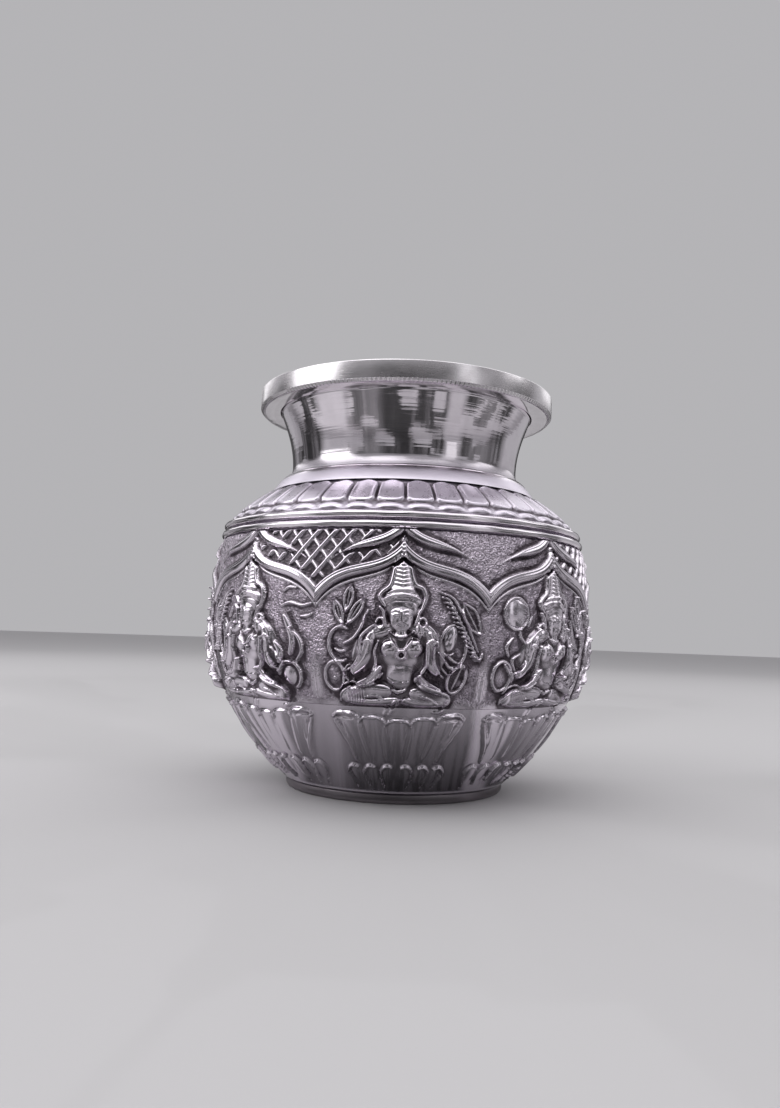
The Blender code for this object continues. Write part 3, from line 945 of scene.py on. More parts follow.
@dataclass(frozen=True)
class SeatedFigure:
    """The crowned figure that sits cross-legged on the petals, the same in every niche."""

    face_level: float = 41.6
    crown_base: float = 47.6
    crown_top: float = 58.8
    crown_ribs: float = 0.86
    line_boldness: float = 1.4

    def limbs(self) -> Forms:
        """Legs, trunk and arms, from the back of the figure to its front.

        Returns:
            The forms, in order.
        """
        fuse = Join.FUSE
        return (
            Swell((-0.5, 25.4), (11.6, 3.0), 0.75),
            Stroke(((-3.5, 26.3), (-9.0, 26.3), (-13.9, 25.2)), 2.0, 1.6, 0.8, fuse),
            Stroke(((4.0, 26.0), (8.4, 25.9), (11.8, 24.9)), 2.0, 1.55, 0.8, fuse),
            Stroke(((-13.2, 24.3), (-7.0, 23.9), (-0.8, 24.7)), 1.15, 1.7, 0.7, fuse),
            Stroke(((11.3, 24.1), (6.6, 23.8), (1.2, 24.6)), 1.15, 1.6, 0.7, fuse),
            Swell((-0.4, 33.2), (7.2, 5.4), 0.8, 0.0, 0.4),
            Swell((0.1, 30.2), (3.5, 4.4), 1.25, 0.0, 0.5),
            Swell((0.2, 34.3), (4.7, 3.6), 1.35, 0.0, 0.45),
            Swell((-2.8, 35.2), (2.2, 2.0), 1.75, 0.0, 0.45),
            Swell((3.2, 35.4), (2.3, 2.0), 1.8, 0.0, 0.45),
            Swell((-8.2, 35.3), (3.1, 5.6), 0.95, -24.0, 0.35),
            Swell((7.6, 35.2), (2.9, 5.2), 0.95, 14.0, 0.35),
            Swell((-5.4, 38.7), (3.5, 1.6), 1.2, 20.0, 0.5),
            Swell((5.3, 38.9), (3.5, 1.6), 1.2, -20.0, 0.5),
            Stroke(((-7.4, 38.1), (-8.5, 35.4), (-9.2, 33.2), (-11.8, 30.4)), 1.6, 1.5, 0.6, fuse),
            Stroke(((7.0, 38.3), (7.6, 35.6), (7.3, 33.0), (9.2, 30.6)), 1.6, 1.5, 0.6, fuse),
            Stroke(((-5.0, 31.4), (-7.4, 28.9), (-10.6, 27.7)), 0.95, 1.95, 0.7, fuse),
            Stroke(((4.6, 29.9), (6.8, 28.0), (10.2, 26.8)), 0.95, 1.9, 0.7, fuse),
        )

    def outlines(self) -> Forms:
        """The chased lines that edge the arms and legs. They differ from side to side.

        Returns:
            The forms, in order.
        """
        return (
            Stroke(((-6.4, 40.3), (-8.2, 39.2), (-9.9, 37.6), (-10.4, 35.6), (-10.4, 34.2),
                    (-11.0, 32.6), (-12.3, 31.2), (-13.6, 30.6)), 0.42, 0.6, 0.4),
            Stroke(((-5.6, 36.8), (-6.5, 34.6), (-6.2, 32.9), (-6.6, 31.3), (-8.4, 29.3),
                    (-10.6, 28.2), (-13.0, 28.1), (-14.7, 27.5), (-15.8, 26.3)), 0.4, 0.6, 0.4),
            Stroke(((-4.4, 30.2), (-5.8, 28.9), (-7.6, 27.8), (-10.2, 27.4)), 0.42, 0.6, 0.4),
            Stroke(((-12.9, 27.3), (-14.4, 26.5), (-15.6, 25.4), (-16.0, 24.1)), 0.4, 0.55, 0.4),
            Stroke(((-9.0, 25.1), (-6.4, 25.4), (-4.2, 24.8)), 0.34, 0.3, 0.3),
            Stroke(((4.8, 41.0), (7.2, 39.8), (8.8, 37.8), (9.3, 35.6)), 0.36, 0.45, 0.3),
            Stroke(((8.2, 36.2), (8.1, 34.0), (8.7, 31.9), (9.9, 30.4), (11.5, 29.4)), 0.36, 0.55,
                   0.4),
            Stroke(((6.4, 36.6), (6.4, 34.2), (6.3, 32.1), (5.4, 30.5), (4.0, 29.0), (5.8, 27.6),
                    (8.8, 26.7), (12.0, 26.1), (13.0, 25.2), (12.5, 23.8), (12.1, 22.9)), 0.58, 0.9,
                   0.6),
            Stroke(((6.7, 29.0), (8.4, 27.9), (10.5, 27.1)), 0.34, 0.5, 0.4),
            Stroke(((9.3, 34.7), (11.1, 33.2), (12.6, 31.7), (14.9, 31.8), (17.1, 31.6)), 0.34,
                   0.45, 0.4),
            Stroke(((5.0, 25.6), (7.8, 25.0), (10.2, 23.8)), 0.3, 0.28, 0.3),
        )

    def head(self) -> Forms:
        """Neck, hair and face. The face is calm and plain.

        Returns:
            The forms, in order.
        """
        level = self.face_level
        brow = level + 1.3
        eye = level + 0.6
        return (
            Swell((-0.1, 38.2), (1.5, 1.8), 1.2, 0.0, 0.45),
            Swell((0.0, 45.3), (4.2, 2.3), 1.3, 0.0, 0.42),
            Swell((0.0, 43.4), (3.6, 3.0), 1.2, 0.0, 0.42),
            Swell((-0.1, level), (2.65, 3.15), 1.7, 0.0, 0.4),
            Stroke(((-0.1, brow), (-0.1, level), (-0.1, level - 0.6)), 0.34, 0.22, 0.6),
            Swell((-0.1, level - 0.65), (0.5, 0.36), 0.12, 0.0, 0.5, Join.ADD),
            Stroke(((-2.3, eye), (-1.5, eye + 0.15), (-0.8, eye)), 0.28, 0.15, 0.5),
            Stroke(((2.1, eye), (1.3, eye + 0.15), (0.6, eye)), 0.28, 0.15, 0.5),
            Stroke(((-2.7, brow - 0.1), (-1.6, brow + 0.3), (-0.5, brow)), 0.2, 0.14, 0.5),
            Stroke(((2.5, brow - 0.1), (1.4, brow + 0.3), (0.3, brow)), 0.2, 0.14, 0.5),
            Stroke(((-1.1, level - 1.7), (-0.1, level - 1.8), (0.9, level - 1.7)), 0.25, 0.14, 0.4),
            Stroke(((-1.0, level - 1.38), (-0.1, level - 1.33), (0.8, level - 1.38)), 0.16, -0.1,
                   0.4),
            Stroke(((-4.5, 45.5), (-2.4, 46.2), (0.0, 46.4), (2.4, 46.2), (4.6, 45.5)), 0.3, 0.26,
                   0.5),
            Stroke(((-3.9, 44.4), (-2.0, 45.1), (0.0, 45.2), (2.0, 45.1), (4.0, 44.4)), 0.26, -0.16,
                   0.5),
            Stroke(((-4.0, 46.7), (-2.0, 47.3), (0.0, 47.4), (2.2, 47.4), (4.0, 46.8)), 0.34, 0.36,
                   0.5),
        )

    def left_ribbon(self) -> Forms:
        """What falls beside the face on the left: the crown's ribbon, hair and an earring.

        Returns:
            The forms, in order.
        """
        fuse = Join.FUSE
        return (
            Stroke(((-1.4, 55.4), (-2.0, 52.8), (-2.4, 50.4), (-3.1, 48.3), (-4.9, 47.0),
                    (-5.7, 45.9), (-5.1, 44.9), (-4.3, 44.0)), 0.58, 1.0, 0.6, fuse),
            Stroke(((-5.6, 43.8), (-4.7, 42.9), (-4.3, 41.5), (-3.9, 40.2)), 0.5, 1.25, 0.6, fuse),
            Stroke(ring_route((-5.4, 40.4), (0.8, 1.1)), 0.34, 1.15, 1.0, fuse),
            Stroke(((-9.8, 40.9), (-8.8, 42.6), (-8.5, 43.2)), 0.34, 0.5, 0.5),
        )

    def right_ribbon(self) -> Forms:
        """What falls beside the face on the right: a thick plait, hair and an earring.

        Returns:
            The forms, in order.
        """
        fuse = Join.FUSE
        return (
            Stroke(((1.3, 55.2), (1.8, 52.6), (2.3, 50.2), (3.2, 48.5), (4.8, 47.9), (5.6, 46.8),
                    (5.8, 45.6), (5.2, 44.2), (4.5, 42.8)), 0.62, 0.95, 0.6, fuse),
            Stroke(((4.5, 43.4), (3.9, 41.9), (3.2, 40.3)), 0.45, 1.25, 0.6, fuse),
            Stroke(ring_route((5.1, 40.7), (0.8, 1.0)), 0.36, 1.15, 1.0, fuse),
            Stroke(((4.1, 40.4), (4.4, 38.6), (4.2, 36.8)), 0.6, 0.4, 0.7),
        )

    def jewels(self) -> Forms:
        """Necklaces, pendant, belt and the folds of the cloth.

        Returns:
            The forms, in order.
        """
        folds = tuple(
            Stroke(((-13.5 + 0.72 * fold, 27.2 - 0.1 * fold), (-13.3 + 0.7 * fold, 25.2),
                    (-13.0 + 0.66 * fold, 22.9)), 0.2, 0.26, 0.6)
            for fold in range(7)
        )
        return folds + (
            Stroke(((-3.2, 38.9), (-1.6, 38.0), (0.0, 37.7), (1.6, 38.1), (3.1, 39.0)), 0.3, 0.34),
            Stroke(((-3.0, 37.9), (-2.2, 36.6), (-0.9, 35.2), (0.1, 34.9), (1.1, 35.4),
                    (2.2, 36.7), (3.0, 38.0)), 0.3, 0.34),
            Stroke(ring_route((0.1, 34.0), (0.85, 0.8)), 0.36, 0.5, 1.0),
            Swell((0.1, 34.0), (0.4, 0.4), -0.25, 0.0, 0.5, Join.ADD),
            Stroke(((-3.2, 29.2), (-1.6, 28.5), (0.2, 28.3), (2.0, 28.5)), 0.26, 0.22, 0.5),
            Stroke(((-2.4, 26.95), (-0.4, 26.35), (1.8, 26.95)), 0.45, 0.55, 0.3),
            Stroke(((-2.9, 22.9), (-1.9, 23.6), (-1.1, 24.6)), 0.3, 0.4, 0.4),
            Stroke(((-1.3, 22.9), (-0.4, 23.8), (0.1, 24.9)), 0.3, 0.4, 0.4),
            Stroke(((0.4, 24.0), (1.2, 24.7), (1.9, 25.4)), 0.24, 0.26, 0.4),
            Stroke(((-9.9, 36.4), (-8.4, 36.9), (-6.9, 36.2)), 0.24, 0.24, 0.6),
            Stroke(((9.1, 36.6), (7.7, 37.2), (6.2, 36.6)), 0.24, 0.24, 0.6),
        )

    def crown(self, relief: ReliefField) -> None:
        """Strikes the tall ribbed crown behind the arch's tip.

        Args:
            relief: the niche to strike it into.
        """
        across, up = relief.grid()
        levels = (self.crown_base - 2.0, self.crown_base, 50.0, 53.0, 56.0, self.crown_top)
        half_widths = (2.9, 2.75, 2.1, 1.55, 1.05, 0.4)
        half_width = np.interp(up, levels, half_widths)
        inside = (up > levels[0]) & (up < levels[-1])
        t = np.clip(np.abs(across) / half_width, 0, 1)
        round_back = np.sqrt(np.clip(1 - t**2.2, 0, 1)) * inside
        ribs = 0.5 + 0.5 * np.cos(2 * np.pi * (up - self.crown_base - 0.5 * t) / self.crown_ribs)
        depth = np.interp(up, (self.crown_base, 50.0, self.crown_top), (1.5, 1.3, 1.1))
        shape = round_back * (depth - 0.2 * (1 - ribs) * (up > self.crown_base + 0.3))
        relief.height = np.where(shape > 0, melted(relief.height, shape, 0.2), relief.height)
        relief.rub(smoothstep(shape, 0.02, 0.2))

    def strike(self, relief: ReliefField) -> None:
        """Strikes the whole figure into its niche.

        Args:
            relief: the niche to strike it into.
        """
        relief.strike_all(self.limbs())
        self.crown(relief)
        relief.strike_all(self.head())
        relief.strike_all(self.left_ribbon())
        relief.strike_all(self.right_ribbon())
        relief.strike_all(self.outlines(), self.line_boldness)
        relief.strike_all(self.jewels(), self.line_boldness)


def leaf_outline(tip: Point, foot: Point, half_width: float) -> tuple[Stroke, ...]:
    """A pointed leaf as two chased edges and a low rib.

    Args:
        tip: where its point is: degrees across and level.
        foot: where it grows from.
        half_width: from its rib to each edge, in millimetres.

    Returns:
        The two edges and the rib.
    """
    ends = np.array((tip, foot))
    run = (ends[1] - ends[0]) * (MM_PER_DEGREE, 1.0)
    beside = np.array((-run[1], run[0])) / np.hypot(*run) * half_width
    beside[0] /= MM_PER_DEGREE
    near_tip, near_foot = ends[0] * 0.65 + ends[1] * 0.35, ends[0] * 0.3 + ends[1] * 0.7
    edges = tuple(
        Stroke((tip, tuple(near_tip + side * beside), tuple(near_foot + side * beside * 0.8), foot),
               0.3, 0.45, 0.7)
        for side in (-1, 1)
    )
    return (*edges, Stroke((tip, foot), 0.2, 0.2, 0.5))


def lotus_sprig() -> Forms:
    """A lotus bud on a curling stem, for the left hand side of a figure.

    Returns:
        The forms, in order.
    """
    return (
        Stroke(((-8.7, 42.6), (-10.4, 39.2), (-12.2, 37.1), (-14.6, 36.0)), 0.42, 0.55, 0.5),
        *leaf_outline((-17.4, 45.2), (-14.9, 39.8), 0.75),
        *leaf_outline((-13.2, 48.2), (-14.2, 42.6), 0.85),
        *leaf_outline((-9.6, 45.6), (-13.7, 40.0), 0.8),
        Stroke(ring_route((-15.3, 35.9), (2.7, 3.6), 60, 235), 0.42, 0.55, 0.5),
        Stroke(((-17.0, 34.9), (-15.6, 34.4), (-14.0, 34.6)), 0.36, 0.4, 0.3),
        Stroke(((-9.9, 38.0), (-10.9, 34.6), (-11.8, 32.2), (-13.6, 30.5)), 0.36, 0.45, 0.5),
        Swell((-17.2, 29.2), (1.9, 2.7), 0.3, 0.0, 0.5, Join.FUSE, 0.2),
        Stroke(ring_route((-17.2, 29.2), (2.15, 3.0)), 0.36, 0.5, 1.0),
        Swell((-17.0, 28.8), (0.45, 0.45), 0.35, 0.0, 0.5, Join.ADD),
        Stroke(ring_route((-12.9, 30.0), (1.2, 1.7), 20, 300), 0.3, 0.35, 0.7),
    )


def plume_spray() -> Forms:
    """A striped plume with leaves round it, for the right hand side of a figure.

    Returns:
        The forms, in order.
    """
    barbs = tuple(
        Stroke(((9.9 + 0.66 * step, 46.2 - 1.0 * step), (11.4 + 0.66 * step, 45.9 - 1.0 * step),
                (12.7 + 0.66 * step, 45.0 - 1.0 * step)), 0.27, 0.5, 0.6)
        for step in range(13)
    )
    return barbs + (
        Stroke(((9.2, 47.3), (13.0, 45.9), (15.9, 42.0), (18.6, 37.4), (20.0, 34.9)), 0.36, 0.5),
        *leaf_outline((15.6, 45.2), (20.2, 38.6), 1.5),
        Swell((12.4, 37.6), (1.5, 2.8), 0.5, -14.0, 0.5),
        Stroke(ring_route((12.6, 37.4), (2.0, 3.2), 90, 220, -14), 0.3, 0.35, 0.5),
        Stroke(((15.7, 38.9), (16.6, 36.4), (16.3, 33.9), (14.6, 31.6), (12.4, 30.1)), 0.36, 0.5),
        Stroke(((9.0, 34.6), (11.6, 34.2), (13.6, 33.0), (15.2, 32.6)), 0.32, 0.4, 0.4),
        Stroke(((9.2, 34.0), (10.2, 31.9), (12.2, 30.2)), 0.34, 0.4, 0.4),
        Stroke(ring_route((14.9, 29.3), (1.9, 3.1), 0, 360, -20), 0.36, 0.5, 1.0),
        Stroke(((13.9, 27.2), (14.9, 29.4), (15.8, 31.4)), 0.26, 0.3, 0.4),
        Stroke(((18.3, 34.8), (19.3, 33.5), (20.6, 33.6), (21.2, 34.8)), 0.4, 0.5, 0.5),
    )


def bud_and_disc() -> Forms:
    """A striped oval bud above a round disc, for the left hand side of a figure.

    Returns:
        The forms, in order.
    """
    stripes = tuple(
        Stroke(((-13.4, 45.7 - 0.72 * step), (-10.6 - 0.12 * step, 45.3 - 0.72 * step)), 0.22, 0.3,
               0.4)
        for step in range(7)
    )
    return stripes + (
        Swell((-13.8, 43.5), (2.9, 3.2), 0.45, 0.0, 0.5),
        Stroke(ring_route((-13.8, 43.5), (3.2, 3.4)), 0.3, 0.4, 1.0),
        Stroke(((-13.0, 40.2), (-12.4, 38.6), (-10.8, 37.2)), 0.4, 0.5, 0.5),
        Swell((-17.2, 30.1), (2.1, 2.8), 0.35, 0.0, 0.5, Join.FUSE, 0.3),
        Stroke(ring_route((-17.2, 30.1), (2.4, 3.1)), 0.4, 0.55, 1.0),
        Stroke(((-16.9, 32.6), (-14.9, 30.7), (-13.6, 28.8)), 0.42, 0.5, 0.5),
        Stroke(((-12.3, 34.9), (-14.4, 33.5), (-13.2, 31.2)), 0.4, 0.45, 0.5),
        Stroke(((-15.0, 38.4), (-16.6, 36.4), (-15.8, 34.2)), 0.38, 0.45, 0.4),
    )


def scroll_and_leaf() -> Forms:
    """A double scroll above a round leaf, for the right hand side of a figure.

    Returns:
        The forms, in order.
    """
    return (
        Stroke(((15.6, 38.8), (18.0, 36.7), (18.8, 34.2), (17.2, 32.0)), 0.5, 0.65, 0.4),
        Stroke(((13.6, 41.5), (15.0, 38.9), (16.0, 36.2), (15.2, 33.4)), 0.85, 0.8, 0.5),
        Stroke(((10.6, 35.6), (11.9, 33.6), (11.4, 31.6)), 0.9, 0.8, 0.6),
        Stroke(ring_route((14.5, 28.8), (2.9, 2.9), -60, 240), 0.45, 0.6, 0.5),
        Swell((14.3, 28.8), (1.9, 2.1), 0.4, 0.0, 0.5),
        Stroke(((12.0, 43.5), (15.0, 44.3), (18.6, 43.7), (21.4, 44.2)), 0.4, 0.5, 0.5),
        Stroke(((18.2, 41.4), (20.2, 41.5), (21.6, 42.0)), 0.34, 0.4, 0.4),
        Stroke(((12.2, 46.6), (14.4, 47.6), (16.6, 47.4)), 0.34, 0.35, 0.4),
    )


@dataclass(frozen=True)
class NicheDress:
    """What the figure of one niche has to its left and to its right."""

    left: Forms
    right: Forms


def niche_dresses() -> tuple[NicheDress, ...]:
    """The eight niches' attributes, in the order of the panels.

    Returns:
        One dress for each panel.
    """
    lotus, plume = lotus_sprig(), plume_spray()
    bud, scroll = bud_and_disc(), scroll_and_leaf()
    return (
        NicheDress(lotus, plume),
        NicheDress(bud, mirrored(lotus)),
        NicheDress(mirrored(scroll), scroll),
        NicheDress(lotus, mirrored(bud)),
        NicheDress(mirrored(plume), plume),
        NicheDress(bud, scroll),
        NicheDress(lotus, mirrored(lotus)),
        NicheDress(mirrored(plume), scroll),
    )


# Meshes


def mesh_of(bm: bmesh.types.BMesh, name: str) -> bpy.types.Mesh:
    """Turns a bmesh into a mesh.

    Args:
        bm: the bmesh, which is freed.
        name: the mesh's name.

    Returns:
        The mesh.
    """
    mesh = bpy.data.meshes.new(name)
    bm.to_mesh(mesh)
    bm.free()
    return mesh


def points_of(mesh: bpy.types.Mesh) -> np.ndarray:
    """The places of a mesh's points, one row each.

    Args:
        mesh: the mesh to read.

    Returns:
        The places, one row each.
    """
    flat = np.zeros(len(mesh.vertices) * 3, np.float32)
    mesh.vertices.foreach_get("co", flat)
    return flat.reshape(-1, 3).astype(float)


def move_points(mesh: bpy.types.Mesh, points: np.ndarray) -> None:
    """Moves a mesh's points to new places, given in millimetres."""
    mesh.vertices.foreach_set("co", (points * MM).astype(np.float32).ravel())
    mesh.update()


def write_values(mesh: bpy.types.Mesh, attribute: Attributes, values: np.ndarray) -> None:
    """Keeps one value for each point of a mesh, for its finish to read."""
    layer = mesh.attributes.new(attribute.value, "FLOAT", "POINT")
    layer.data.foreach_set("value", values.astype(np.float32).ravel())


def round_axis(radius: np.ndarray, angle: np.ndarray, z: np.ndarray) -> np.ndarray:
    """Points round the pot's axis, with angle 0 at -Y and growing towards +X."""
    return np.stack([radius * np.sin(angle), -radius * np.cos(angle), z], axis=-1)


def piece_of(name: str, mesh: bpy.types.Mesh, material: bpy.types.Material, slot: Slot,
             *nodes: str) -> bpy.types.Object:
    """Makes one finished piece of the pot.

    Args:
        name: the piece's name.
        mesh: its shape, in place.
        material: its finish.
        slot: the record's slot that the finish belongs to. Not used.
        nodes: the frame's nodes that the piece stands for.

    Returns:
        The piece, riding on the pot's one body.
    """
    mesh.shade_smooth()
    mesh.set_sharp_from_angle(angle=CRISP_CORNER)
    mesh.materials.append(material)
    piece = bpy.data.objects.new(name, mesh)
    bpy.context.scene.collection.objects.link(piece)
    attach(piece, "root")
    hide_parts(*nodes)
    log.info("%s: %d faces, finished in %s", name, len(mesh.polygons), material.name)
    return piece


def spun_mesh(name: str, profile: Profile, steps: int, closed: bool = True) -> bpy.types.Mesh:
    """A shape spun round the Z axis.

    Args:
        name: the mesh's name.
        profile: (radius, level) points, in millimetres.
        steps: how many steps the turn has.
        closed: whether the last point joins the first.

    Returns:
        The mesh in metres, with its faces outwards.
    """
    bm = bmesh.new()
    verts = [bm.verts.new((0.0, -radius * MM, z * MM)) for radius, z in profile]
    pairs = list(zip(verts, verts[1:])) + ([(verts[-1], verts[0])] if closed else [])
    edges = [bm.edges.new(pair) for pair in pairs]
    bmesh.ops.spin(bm, geom=verts + edges, cent=(0, 0, 0), axis=(0, 0, 1), angle=2 * math.pi,
                   steps=steps, use_merge=True)
    bmesh.ops.remove_doubles(bm, verts=bm.verts, dist=0.0005 * MM)
    bmesh.ops.recalc_face_normals(bm, faces=bm.faces)
    return mesh_of(bm, name)


def rounded(corners: Sequence[tuple[float, float, float]], steps: int = 4) -> list[Point]:
    """A closed profile whose corners are rounded.

    Args:
        corners: radius, level and rounding radius of each corner.
        steps: how many points follow the first one round each corner.

    Returns:
        The profile's points.
    """
    points: list[Point] = []
    count = len(corners)
    for index, (radius, z, corner) in enumerate(corners):
        here = np.array([radius, z])
        before = np.array(corners[index - 1][:2]) - here
        after = np.array(corners[(index + 1) % count][:2]) - here
        if corner == 0:
            points.append((radius, z))
            continue
        first = here + before / np.linalg.norm(before) * corner
        last = here + after / np.linalg.norm(after) * corner
        for step in range(steps + 1):
            t = step / steps
            point = (1 - t) ** 2 * first + 2 * t * (1 - t) * here + t**2 * last
            points.append((float(point[0]), float(point[1])))
    return points


@dataclass
class BeltOfNiches:
    """Eight struck panels, each with an arched niche and a seated figure."""

    form: PotForm
    finish: StruckSilver
    cells: int = 204
    joint: float = 0.02
    grain_relief: float = 0.05
    attribute_boldness: float = 1.5
    pillar_width: float = 1.9
    pillar_height: float = 0.4
    pillar_polish: float = 0.85
    foot_relief: float = 0.12
    full_relief_from: float = 1.1
    rubbed_to: float = 2.6
    arch: NicheArch = NicheArch()
    lattice: Lattice = Lattice()
    figure: SeatedFigure = SeatedFigure()

    def blank(self) -> bpy.types.Mesh:
        """A flat closed sheet: its front is at Z 1, its back at Z 0, and X and Y run -1 to 1.

        Returns:
            The blank's mesh.
        """
        bm = bmesh.new()
        bmesh.ops.create_grid(bm, x_segments=self.cells, y_segments=self.cells, size=1.0)
        front = bmesh.ops.extrude_face_region(bm, geom=bm.faces[:], use_keep_orig=True)
        verts = [part for part in front["geom"] if isinstance(part, bmesh.types.BMVert)]
        bmesh.ops.translate(bm, verts=verts, vec=(0, 0, 1))
        bmesh.ops.recalc_face_normals(bm, faces=bm.faces)
        return mesh_of(bm, "niche_blank")

    def relief(self, number: int, dress: NicheDress) -> ReliefField:
        """The relief of one niche: ground, arch, lattice, figure and attributes.

        Args:
            number: the panel's number, from 1.
            dress: what the figure holds.

        Returns:
            The finished relief.
        """
        edge = NICHE_DEGREES / 2 * MM_PER_DEGREE
        across = np.linspace(-edge, edge, self.cells + 1)
        up = np.linspace(self.form.belt_bottom, self.form.belt_top, self.cells + 1)
        relief = ReliefField(across, up)
        self.pillars(relief)
        relief.strike_all(dress.left, self.attribute_boldness)
        relief.strike_all(dress.right, self.attribute_boldness)
        self.figure.strike(relief)
        # Painted shade on the ground beside the figure and its attributes.
        relief.paint_shade_beside_forms()
        self.lattice.strike(relief, self.arch, -1 if number % 2 else 1)
        self.arch.strike(relief)
        self.ground(relief, number)
        foot = relief.up[0]
        settle = smoothstep(relief.up, foot - 0.1, foot + self.full_relief_from)[:, None]
        relief.height = relief.height * (self.foot_relief + (1 - self.foot_relief) * settle)
        relief.rub(1 - smoothstep(relief.up, foot, foot + self.rubbed_to)[:, None])
        return relief

    def pillars(self, relief: ReliefField) -> None:
        """A low smooth pillar between two niches, half of it on each panel.

        Args:
            relief: the niche to strike it into.
        """
        across, up = relief.grid()
        edge = relief.across[-1]
        near = np.exp(-(((edge - np.abs(across)) / self.pillar_width) ** 2))
        tall = smoothstep(up, 22.0, 26.0) * (1 - smoothstep(up, 28.0, 38.0))
        ripple = 0.5 + 0.5 * np.cos((edge - np.abs(across)) * 5.2)
        pillar = near * tall
        relief.height = relief.height + pillar * (self.pillar_height + 0.06 * ripple)
        relief.rub(smoothstep(pillar, 0.15, 0.95) * self.pillar_polish)

    def ground(self, relief: ReliefField, number: int) -> None:
        """Works the punched ground between the forms, a little unevenly.

        Args:
            relief: the niche to work.
            number: the panel's number.
        """
        across, up = relief.grid()
        phase = number * 1.7
        wander = np.sin(across * 0.9 + phase) * np.sin(up * 0.75 + across * 0.3 + phase)
        random = np.random.default_rng(number)
        fine = blurred(random.normal(size=relief.height.shape), 1)
        coarse = blurred(random.normal(size=relief.height.shape), 2)
        blows = 0.75 * fine / fine.std() + 0.5 * coarse / coarse.std()
        inside = smoothstep(relief.across[-1] - np.abs(across), 0.0, 0.5)
        rough = (wander + blows) * inside * (1 - relief.polish)
        relief.height = relief.height + self.grain_relief * rough

    def panel(self, number: int, dress: NicheDress, blank: bpy.types.Mesh,
              material: bpy.types.Material) -> bpy.types.Object:
        """Wraps the blank round the body and strikes one niche into it.

        Args:
            number: the panel's number, from 1.
            dress: what the figure holds.
            blank: the flat sheet, which is copied.
            material: the panels' finish.

        Returns:
            The finished panel.
        """
        relief = self.relief(number, dress)
        mesh = blank.copy()
        points = points_of(mesh)
        column = np.rint((points[:, 0] + 1) / 2 * self.cells).astype(int)
        row = np.rint((points[:, 1] + 1) / 2 * self.cells).astype(int)
        front = points[:, 2] > 0.5
        height = relief.height[row, column]
        z = relief.up[row]
        flat_back = smoothstep(z, self.form.lap_top, self.form.lap_top + 3) * (
            1 - smoothstep(z, self.form.skirt_bottom - 3, self.form.skirt_bottom))
        side = 1 - smoothstep(np.abs(points[:, 0]), 0.9, 1.0)
        behind = np.clip(blurred(relief.height, 2)[row, column] - 0.15, 0, None)
        back = behind * flat_back * side - self.form.wall
        radius = self.form.body(z) + np.where(front, height, back)
        radius = np.minimum(radius, CAD_BOX[1].x / MM - 0.01)
        half_angle = math.radians(NICHE_DEGREES / 2) - self.joint / 2 / BODY_RADIUS
        angle = points[:, 0] * half_angle + math.radians(NICHE_DEGREES) * (number - 1)
        move_points(mesh, round_axis(radius, angle, z))
        recess = np.where(front, relief.recess()[row, column], 0.5)
        write_values(mesh, Attributes.RECESS, recess)
        write_values(mesh, Attributes.MATTING, np.where(front, 1 - relief.polish[row, column], 0.3))
        name = f"niche_panel_{number}"
        return piece_of(f"struck_{name}", mesh, material, Slot.MATTED, name)

    def build(self) -> None:
        """Makes all the panels."""
        blank = self.blank()
        material = self.finish.material()
        for number, dress in enumerate(niche_dresses(), start=1):
            self.panel(number, dress, blank, material)
        bpy.data.meshes.remove(blank)


